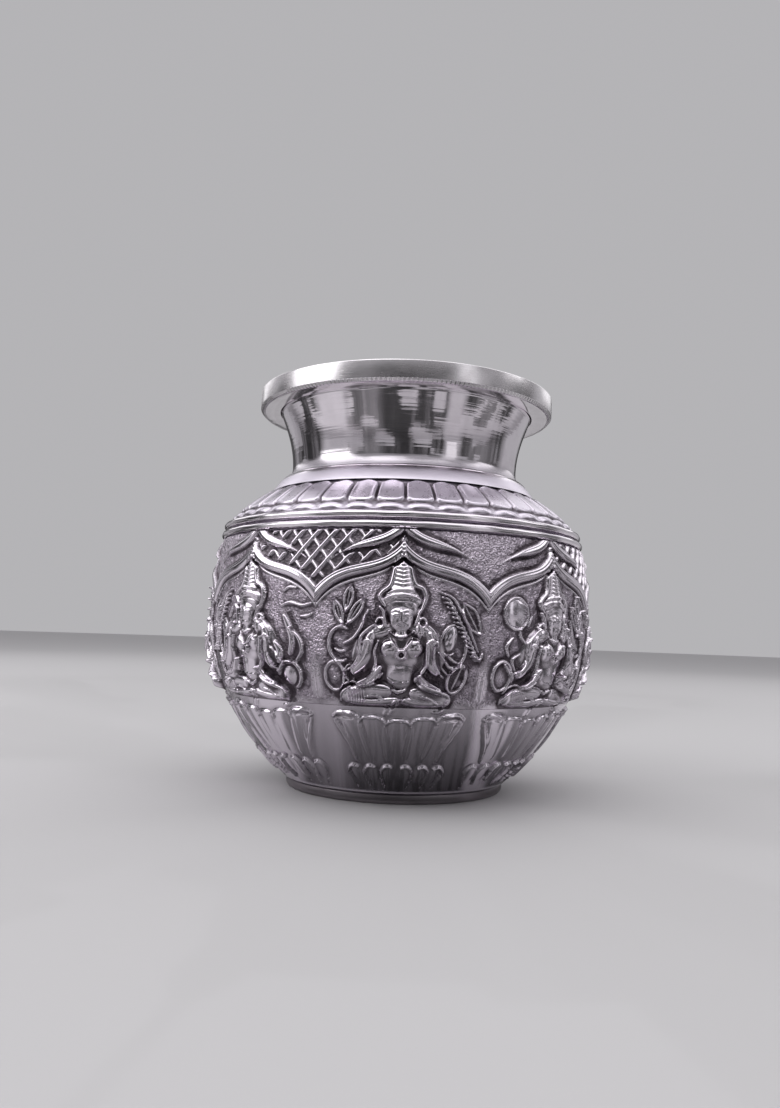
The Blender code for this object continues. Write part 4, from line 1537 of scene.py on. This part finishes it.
@dataclass
class ReliefRing:
    """A sheet that goes all round the pot, with relief on its profile."""

    name: str
    profile: np.ndarray
    wall: float
    steps: int
    shade_depth: float = 0.6
    inner_stride: int = 4
    outer_mark: float = 2.0
    inner_mark: float = 1.0
    shade_spread: int = 3
    overlap: int = 24
    inner_soil: float = 0.35

    def blank(self) -> bpy.types.Mesh:
        """A closed sheet that holds each point's row in Z and its side in its radius.

        The inside has fewer rows than the outside.

        Returns:
            The blank's mesh.
        """
        last = len(self.profile) - 1
        inner = [last, *range(last - self.inner_stride, 0, -self.inner_stride), 0]
        path = [(self.outer_mark, row) for row in range(last + 1)]
        path += [(self.inner_mark, row) for row in inner]
        bm = bmesh.new()
        bmesh.ops.create_grid(bm, x_segments=self.steps, y_segments=len(path), size=1.0)
        for vert in bm.verts:
            turn = vert.co.x * math.pi
            radius, level = path[round((vert.co.y + 1) / 2 * len(path)) % len(path)]
            vert.co = (radius * math.sin(turn), -radius * math.cos(turn), level)
        seam = [vert for vert in bm.verts if vert.is_boundary]
        bmesh.ops.remove_doubles(bm, verts=seam, dist=0.001)
        return mesh_of(bm, self.name)

    def normals(self) -> np.ndarray:
        """The outward direction at each point of the profile, which runs upwards.

        Returns:
            One direction for each point.
        """
        run = np.gradient(self.profile, axis=0)
        out = np.stack([run[:, 1], -run[:, 0]], axis=-1)
        return out / np.linalg.norm(out, axis=1)[:, None]

    def build(self, relief: HeightAt) -> bpy.types.Mesh:
        """Makes the sheet.

        Args:
            relief: gives the height at each row and angle of a grid.

        Returns:
            The mesh, with its recess and matting values.
        """
        mesh = self.blank()
        points = points_of(mesh)
        row = np.rint(points[:, 2]).astype(int)
        outer = np.hypot(points[:, 0], points[:, 1]) > (self.outer_mark + self.inner_mark) / 2
        angle = np.arctan2(points[:, 0], -points[:, 1])
        step = np.rint(angle / (2 * math.pi) * self.steps).astype(int) % self.steps
        angle = step / self.steps * 2 * math.pi
        angles = np.arange(self.steps) / self.steps * 2 * math.pi
        grid = relief(np.arange(len(self.profile))[:, None], angles[None, :])
        wide = np.hstack([grid[:, -self.overlap:], grid, grid[:, :self.overlap]])
        around = blurred(wide, self.shade_spread)[:, self.overlap:-self.overlap]
        # Painted shade: how far each point lies below its neighbours round the ring, which darkens the
        # finish.
        low = np.clip((around - grid) / self.shade_depth, 0, 1)
        height = grid[row, step] - np.where(outer, 0.0, self.wall)
        place = self.profile[row] + self.normals()[row] * height[:, None]
        move_points(mesh, round_axis(place[:, 0], angle, place[:, 1]))
        write_values(mesh, Attributes.RECESS, np.where(outer, low[row, step], self.inner_soil))
        write_values(mesh, Attributes.MATTING, np.zeros(len(row)))
        return mesh


def dense(points: Sequence[Point], spacing: float) -> np.ndarray:
    """Puts extra points into a profile.

    Args:
        points: the profile's corners.
        spacing: the longest step, in millimetres.

    Returns:
        The corners and the points between them.
    """
    chain = [np.array(points[0], float)]
    for start, end in zip(points, points[1:]):
        start, end = np.array(start, float), np.array(end, float)
        count = max(1, math.ceil(np.linalg.norm(end - start) / spacing))
        chain += [start + (end - start) * step / count for step in range(1, count + 1)]
    return np.array(chain)


def folded_angle(angle: np.ndarray, pitch: float) -> np.ndarray:
    """The angle from the middle of the nearest repeat, in degrees."""
    degrees = np.degrees(angle)
    return degrees - pitch * np.round(degrees / pitch)


@dataclass
class PetalBowl:
    """The lower bowl, with a throne of petals under each figure and a small lotus below."""

    form: PotForm
    finish: StruckSilver
    steps: int = 864
    coarse: float = 0.5
    fine: float = 0.18
    fine_levels: tuple[Point, ...] = ((5.4, 10.6), (18.6, 22.9))
    petal_degrees: float = 7.6
    petal_round: float = 1.25
    petal_rise: float = 0.45
    petal_curve: float = 0.12
    valley_height: float = 0.15
    throne_height: float = 0.5
    throne_bottom: float = 9.6
    throne_top: float = 20.4
    taper: float = 0.72
    taper_from: float = 22.6
    belt_gap: float = 0.02
    lotus_tips: tuple[float, ...] = (-14.0, -8.4, -2.8, 2.9, 8.5, 13.7)
    lotus_tip: float = 9.9

    @property
    def wall_top(self) -> float:
        """The level under the belt where the wall ends and the lap begins."""
        return self.form.belt_bottom - self.belt_gap

    def profile(self) -> np.ndarray:
        """The outer profile, from the lip in the foot up to the lap behind the belt.

        Returns:
            Radius and level of each point.
        """
        form, top = self.form, self.wall_top
        lip = reach("base_plate")[0] - form.wall - form.seam
        start = [(lip, form.wall + form.seam), (lip, form.bowl_bottom - 0.05),
                 (form.bowl_edge_radius, form.bowl_bottom)]
        levels = [form.bowl_bottom + 0.2]
        while levels[-1] < top - 0.3:
            fine = any(low <= levels[-1] <= high for low, high in self.fine_levels)
            levels.append(levels[-1] + (self.fine if fine else self.coarse))
        wall = [(float(form.body(z)), z) for z in levels]
        edge = [(float(form.body(top)), top), (float(form.lap(top)), top + 0.03)]
        lap = [(float(form.lap(form.lap_top)), form.lap_top)]
        return dense(start + wall + edge + lap, self.coarse * 1.6)

    def petal_top(self, number: int | np.ndarray) -> float | np.ndarray:
        """The level of a petal's tip. The outer ones are higher."""
        return self.throne_top + self.petal_rise * abs(number) + self.petal_curve * number**2

    def throne(self, relief: ReliefField) -> None:
        """Strikes the large petals: smooth and round, with valleys that fade downwards.

        Args:
            relief: the sector of the bowl under one niche.
        """
        across, up = relief.grid()
        share = np.clip((self.taper_from - up) / (self.taper_from - self.throne_bottom), 0, 1)
        spread = across / MM_PER_DEGREE / (1 - (1 - self.taper) * share**0.8)
        number = np.clip(np.round(spread / self.petal_degrees), -2, 2)
        off = (spread - number * self.petal_degrees) / (self.petal_degrees / 2)
        drop = 1 - np.sqrt(np.clip(1 - (0.97 * off) ** 2, 0, 1))
        top = self.petal_top(number) - self.petal_round * drop
        grow = smoothstep(up, self.throne_bottom, top - 1.0)
        swell = self.valley_height + (1 - self.valley_height) * np.clip(1 - off**2, 0, 1)
        under_top = 1 - smoothstep(up, top - 0.25, top + 0.2)
        petals = self.throne_height * swell * grow * under_top * (np.abs(off) < 1)
        relief.height = np.maximum(relief.height, petals)

    def petal_edges(self) -> Forms:
        """The fine curled edges on top of the petals, and the lines between them.

        Returns:
            The forms, in order.
        """
        edges = []
        for number in range(-2, 3):
            middle, top = number * self.petal_degrees, self.petal_top(number)
            half = self.petal_degrees / 2
            edges.append(Stroke(
                ((middle - half, top - 1.3), (middle - 0.75 * half, top - 0.45),
                 (middle - 0.3 * half, top - 0.04), (middle + 0.3 * half, top - 0.04),
                 (middle + 0.75 * half, top - 0.45), (middle + half, top - 1.3)),
                0.3, 0.45, 0.8))
        half = 0.5 * self.petal_degrees
        lines = (
            Stroke(((half, 19.0), (0.9 * half, 15.6), (0.79 * half, 11.4)), 0.7, 0.2, 0.3),
            Stroke(((3 * half, 19.4), (2.7 * half, 15.6), (2.37 * half, 11.4)), 0.7, 0.22, 0.3),
            Stroke(((19.0, 21.0), (18.3, 19.2), (16.6, 16.6), (14.7, 13.6), (13.4, 10.4)),
                   0.6, 0.5, 0.2),
            Stroke(((16.4, 19.6), (15.3, 17.0), (13.9, 14.2)), 0.5, 0.2, 0.2),
            Stroke(((13.2, 20.5), (15.6, 20.75), (17.9, 20.5)), 0.42, -0.3, 0.3),
        )
        return (*edges, *lines, *mirrored(lines))

    def lotus(self) -> Forms:
        """The small lotus: hooked petals that lean away from its middle.

        Returns:
            The forms, in order.
        """
        forms = []
        for tip in self.lotus_tips:
            side = math.copysign(1.0, tip)
            top = self.lotus_tip - 0.012 * abs(tip)
            lean = 0.1 * tip
            forms.append(Swell((tip + 0.4 * side, 7.8), (2.1, 2.2), 0.25, 0.0, 1.0))
            forms.append(Stroke(
                ((tip + 1.8 * side, 4.8), (tip + 2.6 * side + 0.4 * lean, 6.6),
                 (tip + 2.6 * side + lean, 8.1), (tip + 1.7 * side + lean, top - 0.6),
                 (tip + 0.2 * side + lean, top), (tip - 1.6 * side + lean, top - 0.4)),
                0.38, 0.7, 0.5))
        return tuple(forms)

    def cloth_end(self) -> Forms:
        """The end of the figure's cloth, which hangs over the throne's edge.

        Returns:
            The forms, in order.
        """
        return (
            Stroke(((-3.0, 22.9), (-3.7, 22.0), (-4.2, 21.2)), 0.36, 0.35, 0.4),
            Stroke(((-1.4, 22.9), (-2.2, 22.1), (-2.9, 21.3)), 0.36, 0.35, 0.4),
            Stroke(((12.1, 22.9), (11.4, 22.3), (9.6, 22.2)), 0.4, 0.4, 0.4),
        )

    def relief(self, levels: np.ndarray) -> HeightAt:
        """Works out the relief.

        Args:
            levels: the level of each row of the profile.

        Returns:
            What gives the height at a row and an angle.
        """
        count = self.steps // NICHES
        degrees = (np.arange(count) / count - 0.5) * NICHE_DEGREES
        sector = ReliefField(degrees * MM_PER_DEGREE, levels)
        self.throne(sector)
        sector.strike_all(self.petal_edges())
        sector.strike_all(self.lotus())
        sector.strike_all(self.cloth_end())
        top = self.wall_top
        free = smoothstep(levels, 2.7, 3.4) * (1 - smoothstep(levels, top - 0.15, top))
        heights = sector.height * free[:, None]

        def height(row: np.ndarray, angle: np.ndarray) -> np.ndarray:
            """The height in the sector that an angle falls in.

            Args:
                row: rows of the profile.
                angle: radians round the pot.

            Returns:
                The height there.
            """
            step = np.rint(angle / (2 * math.pi) * self.steps).astype(int)
            return heights[row, (step + count // 2) % count]

        return height

    def build(self) -> None:
        """Makes the bowl."""
        profile = self.profile()
        ring = ReliefRing("petal_bowl_sheet", profile, self.form.wall, self.steps)
        mesh = ring.build(self.relief(profile[:, 1]))
        piece_of("lotus_petal_bowl", mesh, self.finish.material(), Slot.POLISHED, "petal_bowl")


@dataclass
class FlutedShoulder:
    """The shoulder with forty round-ended flutes, a lip at the top and a skirt below."""

    form: PotForm
    finish: StruckSilver
    steps: int = 1000
    spacing: float = 0.41
    # How deep a hollow must be to take the full painted shade between the flutes.
    shade_depth: float = 0.3
    flute_height: float = 0.6
    eave: float = reach("ridge_wire_upper")[2] + 0.55
    eave_overhang: float = 0.4
    top_round: float = 2.2
    foot_round: float = 1.0
    bead_place: float = 0.78
    bead_width: float = 0.12
    bead_height: float = 0.3
    scallop_height: float = 0.62
    scallop_level: float = 0.75
    scallop_half_height: float = 0.8
    scallop_half_width: float = 0.92

    def profile(self) -> np.ndarray:
        """The outer profile from the skirt up to the lip behind the collar.

        Returns:
            Radius and level of each point.
        """
        form = self.form
        lip_radius = form.neck_foot_radius + form.seam + form.wall
        eave_radius = float(form.lap(self.eave)) + self.eave_overhang
        corner = (form.shoulder_top_radius, form.shoulder_top)
        skirt = [(float(form.lap(z)), float(z))
                 for z in np.linspace(form.skirt_bottom, self.eave - 0.5, 9)]
        lip = [(lip_radius, form.lip_top - 1.1), (lip_radius, form.lip_top)]
        slope = self.slope((eave_radius, self.eave), corner)
        return dense(skirt + slope + lip, self.spacing)

    def slope(self, bottom: Point, top: Point) -> list[Point]:
        """The slope under the flutes, a little round.

        Args:
            bottom: the corner at the eave.
            top: the corner at the collar.

        Returns:
            The slope's points, with both corners.
        """
        shares = np.linspace(0, 1, 9)
        swell = 0.3 * np.sin(np.pi * shares)
        return [
            (bottom[0] + (top[0] - bottom[0]) * t + s * 0.6,
             bottom[1] + (top[1] - bottom[1]) * t + s)
            for t, s in zip(shares, swell)
        ]

    def relief(self, levels: np.ndarray) -> HeightAt:
        """Works out the relief.

        Args:
            levels: the level of each row of the profile.

        Returns:
            What gives the height at a row and an angle.
        """
        top, bottom = self.form.shoulder_top - 0.55, self.eave + 1.55

        def height(row: np.ndarray, angle: np.ndarray) -> np.ndarray:
            """The height of the flute or the scallop at a row and an angle.

            Args:
                row: rows of the profile.
                angle: radians round the pot.

            Returns:
                The height there.
            """
            z = levels[row]
            off = folded_angle(angle - math.radians(180 / FLUTES), 360 / FLUTES) / (180 / FLUTES)
            top_drop = 1 - np.sqrt(np.clip(1 - (0.98 * off) ** 2, 0, 1))
            foot_rise = 1 - np.sqrt(np.clip(1 - (0.96 * off) ** 2, 0, 1))
            round_top = top - self.top_round * top_drop
            round_foot = bottom + self.foot_round * foot_rise
            within = smoothstep(z, round_foot - 0.05, round_foot + 0.4)
            within = within * (1 - smoothstep(z, round_top - 0.35, round_top + 0.05))
            body = 0.72 + 0.28 * np.sqrt(np.clip(1 - off**2, 0, 1))
            from_bead = (np.abs(off) - self.bead_place) / self.bead_width
            bead = self.bead_height * np.exp(-(from_bead**2))
            side = 1 - smoothstep(np.abs(off), 0.85, 0.98)
            flute = self.flute_height * (body + bead) * side * within
            over = (z - self.eave - self.scallop_level) / self.scallop_half_height
            away = (off / self.scallop_half_width) ** 2 + over**2
            scallop = self.scallop_height * np.clip(1 - away, 0, 1) ** 0.8
            return np.maximum(flute, scallop)

        return height

    def build(self) -> None:
        """Makes the shoulder."""
        profile = self.profile()
        ring = ReliefRing("shoulder_sheet", profile, self.form.wall, self.steps,
                          self.shade_depth)
        mesh = ring.build(self.relief(profile[:, 1]))
        piece_of("fluted_shoulder", mesh, self.finish.material(), Slot.POLISHED, "shoulder")


@dataclass
class NeckAndMouth:
    """The collar, the spun neck and the flat band round the mouth."""

    form: PotForm
    polished: TurnedSilver
    satin: TurnedSilver
    brushed: BrushedSilver
    steps: int = 256
    collar_edge: float = 0.42
    band_corner: float = 0.28
    band_bevel: float = 0.6

    def collar_profile(self) -> list[Point]:
        """The collar: a sloped ring with a soft upper edge.

        Returns:
            The closed profile.
        """
        form = self.form
        inside = form.neck_foot_radius + form.seam
        outside, bottom, top = reach("neck_collar")
        seat = form.lip_top + form.seam
        lip = inside + form.wall + form.seam
        return rounded([
            (inside, top, 0.15), (outside - 2.7, top - 0.2, 1.2),
            (outside - 0.25, bottom + self.collar_edge, 0.9), (outside, bottom, 0.1),
            (outside - form.wall, bottom, 0.0), (lip, seat, 0.0), (inside, seat, 0.0),
        ])

    def neck_profile(self) -> list[Point]:
        """The neck: its lap, its waist, its funnel and the lip inside the band.

        Returns:
            The closed profile, up the outside and down the inside.
        """
        form = self.form
        mouth = form.rim_radius - form.wall - form.seam
        top = form.rim_bottom - form.seam
        funnel = form.rim_bottom + form.wall + form.seam
        levels = np.linspace(form.collar_top, top, 40)
        outer = [(form.neck_foot_radius, reach("neck")[1])]
        outer += [(float(r), float(z)) for r, z in zip(form.neck(levels), levels)]
        outer += [(form.neck_top_radius, funnel - 0.1), (form.neck_top_radius + 0.1, funnel)]
        outer += [(mouth - 0.35, form.rim_top - 0.75), (mouth, form.rim_top - 0.4)]
        outer.append((mouth, form.rim_top))
        line = np.array(outer)
        run = np.gradient(line, axis=0)
        inward = np.stack([-run[:, 1], run[:, 0]], axis=-1)
        inner = line + inward / np.linalg.norm(inward, axis=1)[:, None] * form.wall
        inner[-1] = (mouth - form.wall, form.rim_top)
        inner[-2] = (mouth - form.wall, form.rim_top - 0.45)
        return outer + [(float(r), float(z)) for r, z in inner[::-1]]

    def band_profile(self) -> list[Point]:
        """The rim band: a flat face, crisp edges and a flange under the funnel.

        Returns:
            The closed profile.
        """
        form = self.form
        inside = form.neck_top_radius + form.seam
        outside, bottom, top, corner = form.rim_radius, form.rim_bottom, form.rim_top, self.band_corner
        return rounded([
            (outside - form.wall, top, 0.12), (outside, top, corner),
            (outside, bottom + self.band_bevel, 0.1), (outside - self.band_bevel, bottom, 0.1),
            (inside, bottom, 0.1), (inside, bottom + form.wall, 0.1),
            (outside - form.wall, bottom + form.wall, 0.2),
        ])

    def build(self) -> None:
        """Makes the three pieces."""
        polished, brushed = self.polished.material(), self.brushed.material()
        collar = spun_mesh("collar", self.collar_profile(), self.steps)
        piece_of("sloped_collar", collar, self.satin.material(), Slot.POLISHED, "neck_collar")
        neck = spun_mesh("neck", self.neck_profile(), self.steps)
        piece_of("spun_neck", neck, polished, Slot.TURNED, "neck")
        band = spun_mesh("band", self.band_profile(), self.steps)
        piece_of("mouth_band", band, brushed, Slot.BRUSHED, "rim_band")


@dataclass
class WiresAndFoot:
    """The two ridge wires round the top of the belt, and the flat foot."""

    form: PotForm
    finish: TurnedSilver
    shaded_foot_finish: TurnedSilver
    steps: int = 256
    wire_facets: int = 20
    wire_radius: float = 0.85
    hand_wobble: float = 0.04
    foot_corner: float = 1.0

    def wire(self, node: str, material: bpy.types.Material) -> None:
        """Makes one drawn wire, not quite even, as soldered by hand.

        Args:
            node: the frame's node that it stands for.
            material: the wires' finish.
        """
        outside, low, high = reach(node)
        middle, z = outside - self.wire_radius, (low + high) / 2
        turns = np.arange(self.wire_facets) / self.wire_facets * 2 * math.pi
        profile = [(middle + self.wire_radius * math.cos(turn), z + self.wire_radius * math.sin(turn))
                   for turn in turns]
        mesh = spun_mesh(node, profile, self.steps)
        points = points_of(mesh) / MM
        angle = np.arctan2(points[:, 0], -points[:, 1])
        radius = np.hypot(points[:, 0], points[:, 1])
        wobble = self.hand_wobble * (np.sin(angle * 23 + z) + np.sin(angle * 41 + 2 * z)) / 2
        radius = radius - self.hand_wobble + wobble
        move_points(mesh, round_axis(radius, angle, points[:, 2] + wobble))
        piece_of(f"drawn_{node}", mesh, material, Slot.POLISHED, node)

    def foot_profile(self) -> list[Point]:
        """The foot: a pressed disc with a turned-up edge and a shallow ring underneath.

        Returns:
            The profile, from the axis out and back to it.
        """
        radius, bottom, top = reach("base_plate")
        inside = radius - self.form.wall
        edge = rounded([
            (inside, self.form.wall, 0.3), (inside, top, 0.12), (radius, top, 0.25),
            (radius, bottom, self.foot_corner), (radius - 2.6, bottom, 0.0),
            (radius - 2.9, bottom + 0.12, 0.0), (radius - 3.3, bottom + 0.12, 0.0),
            (radius - 3.6, bottom, 0.0),
        ])
        return [(0.0, self.form.wall), *edge, (0.0, bottom)]

    def build(self) -> None:
        """Makes the wires and the foot."""
        material = self.finish.material()
        # The foot's finish is darkened as painted shadow where it meets the floor.
        unpolished_and_shaded = self.shaded_foot_finish.material()
        self.wire("ridge_wire_lower", material)
        self.wire("ridge_wire_upper", material)
        foot = spun_mesh("foot", self.foot_profile(), self.steps, closed=False)
        piece_of("pressed_foot", foot, unpolished_and_shaded, Slot.POLISHED, "base_plate")


# Studio


@dataclass(frozen=True)
class Softbox:
    """A large soft lamp that looks at the pot.

    azimuth and elevation say where it stands: degrees round from -Y towards +X, and up.
    """

    name: str
    azimuth: float
    elevation: float
    distance: float
    width: float
    height: float
    radiance: float

    def place(self, target: Vector) -> Vector:
        """Where its middle is, in metres."""
        return target + direction(self.azimuth, self.elevation) * self.distance

    def build(self, target: Vector) -> None:
        """Makes the lamp.

        Args:
            target: what it looks at, in metres.
        """
        lamp = bpy.data.lights.new(self.name, "AREA")
        lamp.shape = "RECTANGLE"
        lamp.size, lamp.size_y = self.width, self.height
        lamp.energy = self.radiance * math.pi * self.width * self.height
        holder = bpy.data.objects.new(self.name, lamp)
        holder.location = self.place(target)
        holder.rotation_euler = (target - holder.location).to_track_quat("-Z", "Y").to_euler()
        holder.visible_camera = False
        bpy.context.scene.collection.objects.link(holder)


def direction(azimuth: float, elevation: float) -> Vector:
    """A direction from the pot: degrees round from -Y towards +X, and degrees up."""
    a, e = math.radians(azimuth), math.radians(elevation)
    return Vector((math.sin(a) * math.cos(e), -math.cos(a) * math.cos(e), math.sin(e)))


@dataclass(frozen=True)
class Backcloth:
    """A dark cloth round the pot with light gaps in it, for the polished silver to mirror.

    Only reflections see it. It lies on the floor near the pot and stands up far from it.
    Each table goes round the pot: degrees from -Y towards +X, and a value there.
    """

    start: float = 0.028
    dense_from: float = 0.085
    radius: float = 0.5
    height: float = 0.6
    above_floor: float = 0.0005
    tone: float = 0.025
    roughness: float = 0.9
    near_cover: float = 0.5
    foot_cover: float = 0.85
    upright_cover: float = 0.9
    streak_width: float = 75.0
    patches_around: float = 23.0
    patch_depth: float = 0.09
    patch_gaps: float = 0.2
    edge_fade: float = 0.1
    cover: tuple[Point, ...] = (
        (-180, 0.4), (-166, 1.0), (-148, 1.0), (-140, 0.4), (-128, 1.0), (-92, 1.0), (-82, 0.1),
        (-60, 0.1), (-50, 0.95), (-30, 0.6), (-14, 1.0), (34, 1.0), (39, 0.15), (50, 0.15),
        (57, 1.0), (80, 0.7), (104, 1.0), (114, 0.1), (147, 0.1), (154, 1.0), (172, 1.0),
        (180, 0.4),
    )
    tall: tuple[Point, ...] = (
        (-180, 0.3), (-150, 0.5), (-138, 0.2), (-100, 0.2), (-80, 0.05), (-50, 0.26), (-15, 0.26),
        (36, 0.26), (60, 0.3), (104, 0.3), (148, 0.3), (156, 0.42), (172, 0.42), (180, 0.3),
    )

    def sheet(self) -> bpy.types.Mesh:
        """The cloth's surface: flat on the floor, then up in a bend.

        Returns:
            The cloth's mesh.
        """
        radius, bottom = self.radius / MM, self.above_floor / MM
        profile = [(self.start / MM, bottom), (0.8 * radius, bottom),
                   (0.95 * radius, 0.05 * radius), (radius, 0.2 * radius),
                   (radius, self.height / MM)]
        return spun_mesh("dark_cloth", profile, 96, closed=False)

    def material(self) -> bpy.types.Material:
        """Makes a dark stuff whose cover changes round the pot and fades upwards.

        Returns:
            The material.
        """
        shader = Shader("dark_cloth")
        shader.surface.inputs["Metallic"].default_value = 0.0
        shader.surface.inputs["Base Color"].default_value = (self.tone,) * 3 + (1.0,)
        shader.surface.inputs["Roughness"].default_value = self.roughness
        place = shader.place()
        parts = shader.node("ShaderNodeSeparateXYZ", {0: place}).outputs
        turn = shader.math("ARCTAN2", parts["X"], shader.math("MULTIPLY", parts["Y"], -1.0))
        turn = shader.ranged(turn, -math.pi, math.pi)
        flat = shader.stretched(place, (1.0, 1.0, 0.0))
        away = shader.node("ShaderNodeVectorMath", {0: flat}, operation="LENGTH").outputs["Value"]
        around = shader.node("ShaderNodeVectorMath", {0: flat}, operation="NORMALIZE").outputs[0]
        streaks = shader.ranged(shader.noise(around, self.streak_width, 3.0), 0.36, 0.6, 0.82, 1.15)
        near = shader.math("ADD", shader.ranged(away, self.start, self.dense_from - 0.01,
                                                self.foot_cover, self.near_cover),
                           shader.ranged(away, self.dense_from, self.dense_from + 0.03, 0.0,
                                         1 - self.near_cover))
        above = shader.math("SUBTRACT", parts["Z"], shader.looked_up(turn, self.tall))
        outward = shader.math("DIVIDE", shader.math("ADD", away, parts["Z"]), self.patch_depth)
        inputs = {"X": shader.math("MULTIPLY", turn, self.patches_around), "Y": outward}
        squares = shader.patches(shader.node("ShaderNodeCombineXYZ", inputs).outputs["Vector"])
        squares = shader.ranged(squares, 0.28, 0.4, self.patch_gaps, 1.0)
        broken = shader.math("MULTIPLY", streaks, squares)
        close = shader.ranged(away, self.dense_from - 0.01, self.dense_from + 0.01, 1.0, 0.0)
        broken = shader.math("MAXIMUM", broken, close)
        cover = shader.math("MULTIPLY", shader.looked_up(turn, self.cover), broken)
        cover = shader.math("MULTIPLY", cover, near)
        cover = shader.math("MULTIPLY", cover, shader.ranged(parts["Z"], 0.03, 0.1, 1.0,
                                                             self.upright_cover))
        cover = shader.math("MULTIPLY", cover, shader.ranged(above, 0.0, self.edge_fade, 1.0, 0.0))
        shader.tree.links.new(cover, shader.surface.inputs["Alpha"])
        return shader.material

    def build(self) -> None:
        """Makes the cloth."""
        cloth = bpy.data.objects.new("dark_cloth", self.sheet())
        cloth.data.materials.append(self.material())
        for_reflections_only(cloth)


def for_reflections_only(thing: bpy.types.Object) -> None:
    """Puts a thing on the stage where only reflections see it, and it casts no shadow.

    Args:
        thing: the object, not yet in the scene.
    """
    thing.visible_camera = False
    thing.visible_diffuse = False
    thing.visible_shadow = False
    bpy.context.scene.collection.objects.link(thing)


def plain_material(name: str, color: Sequence[float], roughness: float) -> bpy.types.Material:
    """A plain unpatterned material for what is not part of the pot.

    Args:
        name: the material's name.
        color: red, green and blue.
        roughness: how dull it is.

    Returns:
        The material.
    """
    material = bpy.data.materials.new(name)
    material.use_nodes = True
    surface = material.node_tree.nodes["Principled BSDF"]
    surface.inputs["Base Color"].default_value = (*color, 1.0)
    surface.inputs["Roughness"].default_value = roughness
    return material


@dataclass
class Studio:
    """A plain pale floor, soft light all round, and the camera at the photograph's angle."""

    floor_radius: float = 3.0
    floor_color: tuple[float, float, float] = (0.56, 0.55, 0.56)
    floor_roughness: float = 0.75
    sky_color: tuple[float, float, float] = (0.46, 0.455, 0.47)
    lit_height: float = 0.05
    camera_place: tuple[float, float, float] = (-2.94, -229.4, 38.6)
    camera_pitch: float = 5.08
    camera_roll: float = 2.0
    image_height: float = 1108.0
    focal_pixels: float = 880.6
    sensor: float = 36.0
    softboxes: tuple[Softbox, ...] = (
        Softbox("key_box", -74, 32, 0.8, 0.56, 0.6, 1.5),
        Softbox("front_box", -22, 50, 0.8, 0.42, 0.34, 1.15),
        Softbox("side_box", 92, 36, 0.8, 0.3, 0.4, 1.05),
        Softbox("top_box", 0, 88, 0.9, 1.3, 1.3, 0.9),
        Softbox("back_box", 145, 30, 0.9, 0.5, 0.4, 0.8),
        Softbox("far_box", -140, 28, 0.9, 0.4, 0.4, 1.05),
        Softbox("right_box", 45, 20, 0.8, 0.16, 0.5, 0.45),
    )
    backcloth: Backcloth = Backcloth()

    def floor(self) -> None:
        """Makes the floor, a wide disc."""
        bm = bmesh.new()
        bmesh.ops.create_circle(bm, cap_ends=True, segments=96, radius=self.floor_radius)
        floor = bpy.data.objects.new("studio_floor", mesh_of(bm, "studio_floor"))
        pale = plain_material("pale_floor", self.floor_color, self.floor_roughness)
        floor.data.materials.append(pale)
        bpy.context.scene.collection.objects.link(floor)

    def world(self) -> None:
        """Sets the plain pale surroundings."""
        world = bpy.data.worlds.new("studio")
        world.use_nodes = True
        background = world.node_tree.nodes["Background"]
        background.inputs["Color"].default_value = (*self.sky_color, 1.0)
        bpy.context.scene.world = world

    def camera(self) -> None:
        """Sets the camera where the photograph was taken from."""
        lens = bpy.data.cameras.new("camera")
        lens.sensor_width = self.sensor
        lens.lens = self.sensor * self.focal_pixels / self.image_height
        lens.clip_start = 0.01
        camera = bpy.data.objects.new("camera", lens)
        turn = Matrix.Rotation(math.radians(90 + self.camera_pitch), 4, "X")
        roll = Matrix.Rotation(math.radians(self.camera_roll), 4, "Z")
        place = Matrix.Translation(Vector(self.camera_place) * MM)
        camera.matrix_world = place @ turn @ roll
        bpy.context.scene.collection.objects.link(camera)
        bpy.context.scene.camera = camera

    def build(self) -> None:
        """Makes the studio round the pot."""
        target = Vector((0, 0, self.lit_height))
        self.floor()
        self.backcloth.build()
        self.world()
        self.camera()
        for box in self.softboxes:
            box.build(target)
        bpy.context.scene.view_settings.view_transform = "Standard"


def main() -> None:
    """Builds the pot from the foot up, then the studio, and reports each piece."""
    logging.basicConfig(level=logging.INFO, format="%(message)s")
    form = PotForm()
    struck = StruckSilver("struck_and_matted_silver")
    smooth = StruckSilver("struck_polished_silver", brush_depth=0.005)
    # The neck's dark colour near its foot is painted shade; the collar's duller zone is its satin
    # finish.
    spun = TurnedSilver("spun_silver", line_depth=0.035, dull_and_shade_below=form.collar_top + 3.2,
                        dull_and_shade_depth=3.2, dull_and_shade_silver=(0.37, 0.34, 0.385, 1.0))
    satin = TurnedSilver("satin_silver", dull_and_shade_below=form.collar_top - 0.5, dull_and_shade_depth=1.4,
                         dullness=0.3, dull_and_shade_silver=(0.8, 0.745, 0.845, 1.0))
    brushed = BrushedSilver("brushed_silver", polished_below=form.rim_bottom + 0.55,
                            milled_outside=form.rim_radius - 1.1)
    # The foot's dark colour is painted shadow where it meets the floor; its roughness is that of
    # unpolished silver.
    shaded_foot_silver = TurnedSilver("unpolished_silver_with_painted_shadow", silver=(0.32, 0.29, 0.315, 1.0),
                               haze=(0.19, 0.17, 0.185, 1.0), roughness=0.36)
    WiresAndFoot(form, TurnedSilver("drawn_silver", roughness=0.1), shaded_foot_silver).build()
    PetalBowl(form, smooth).build()
    BeltOfNiches(form, struck).build()
    FlutedShoulder(form, StruckSilver("fluted_silver", silver=(0.79, 0.73, 0.83, 1.0),
                                      bright_roughness=0.28, grain_depth=0.02,
                                      brush_depth=0.003)).build()
    NeckAndMouth(form, spun, satin, brushed).build()
    Studio().build()


if __name__ == "__main__":
    main()
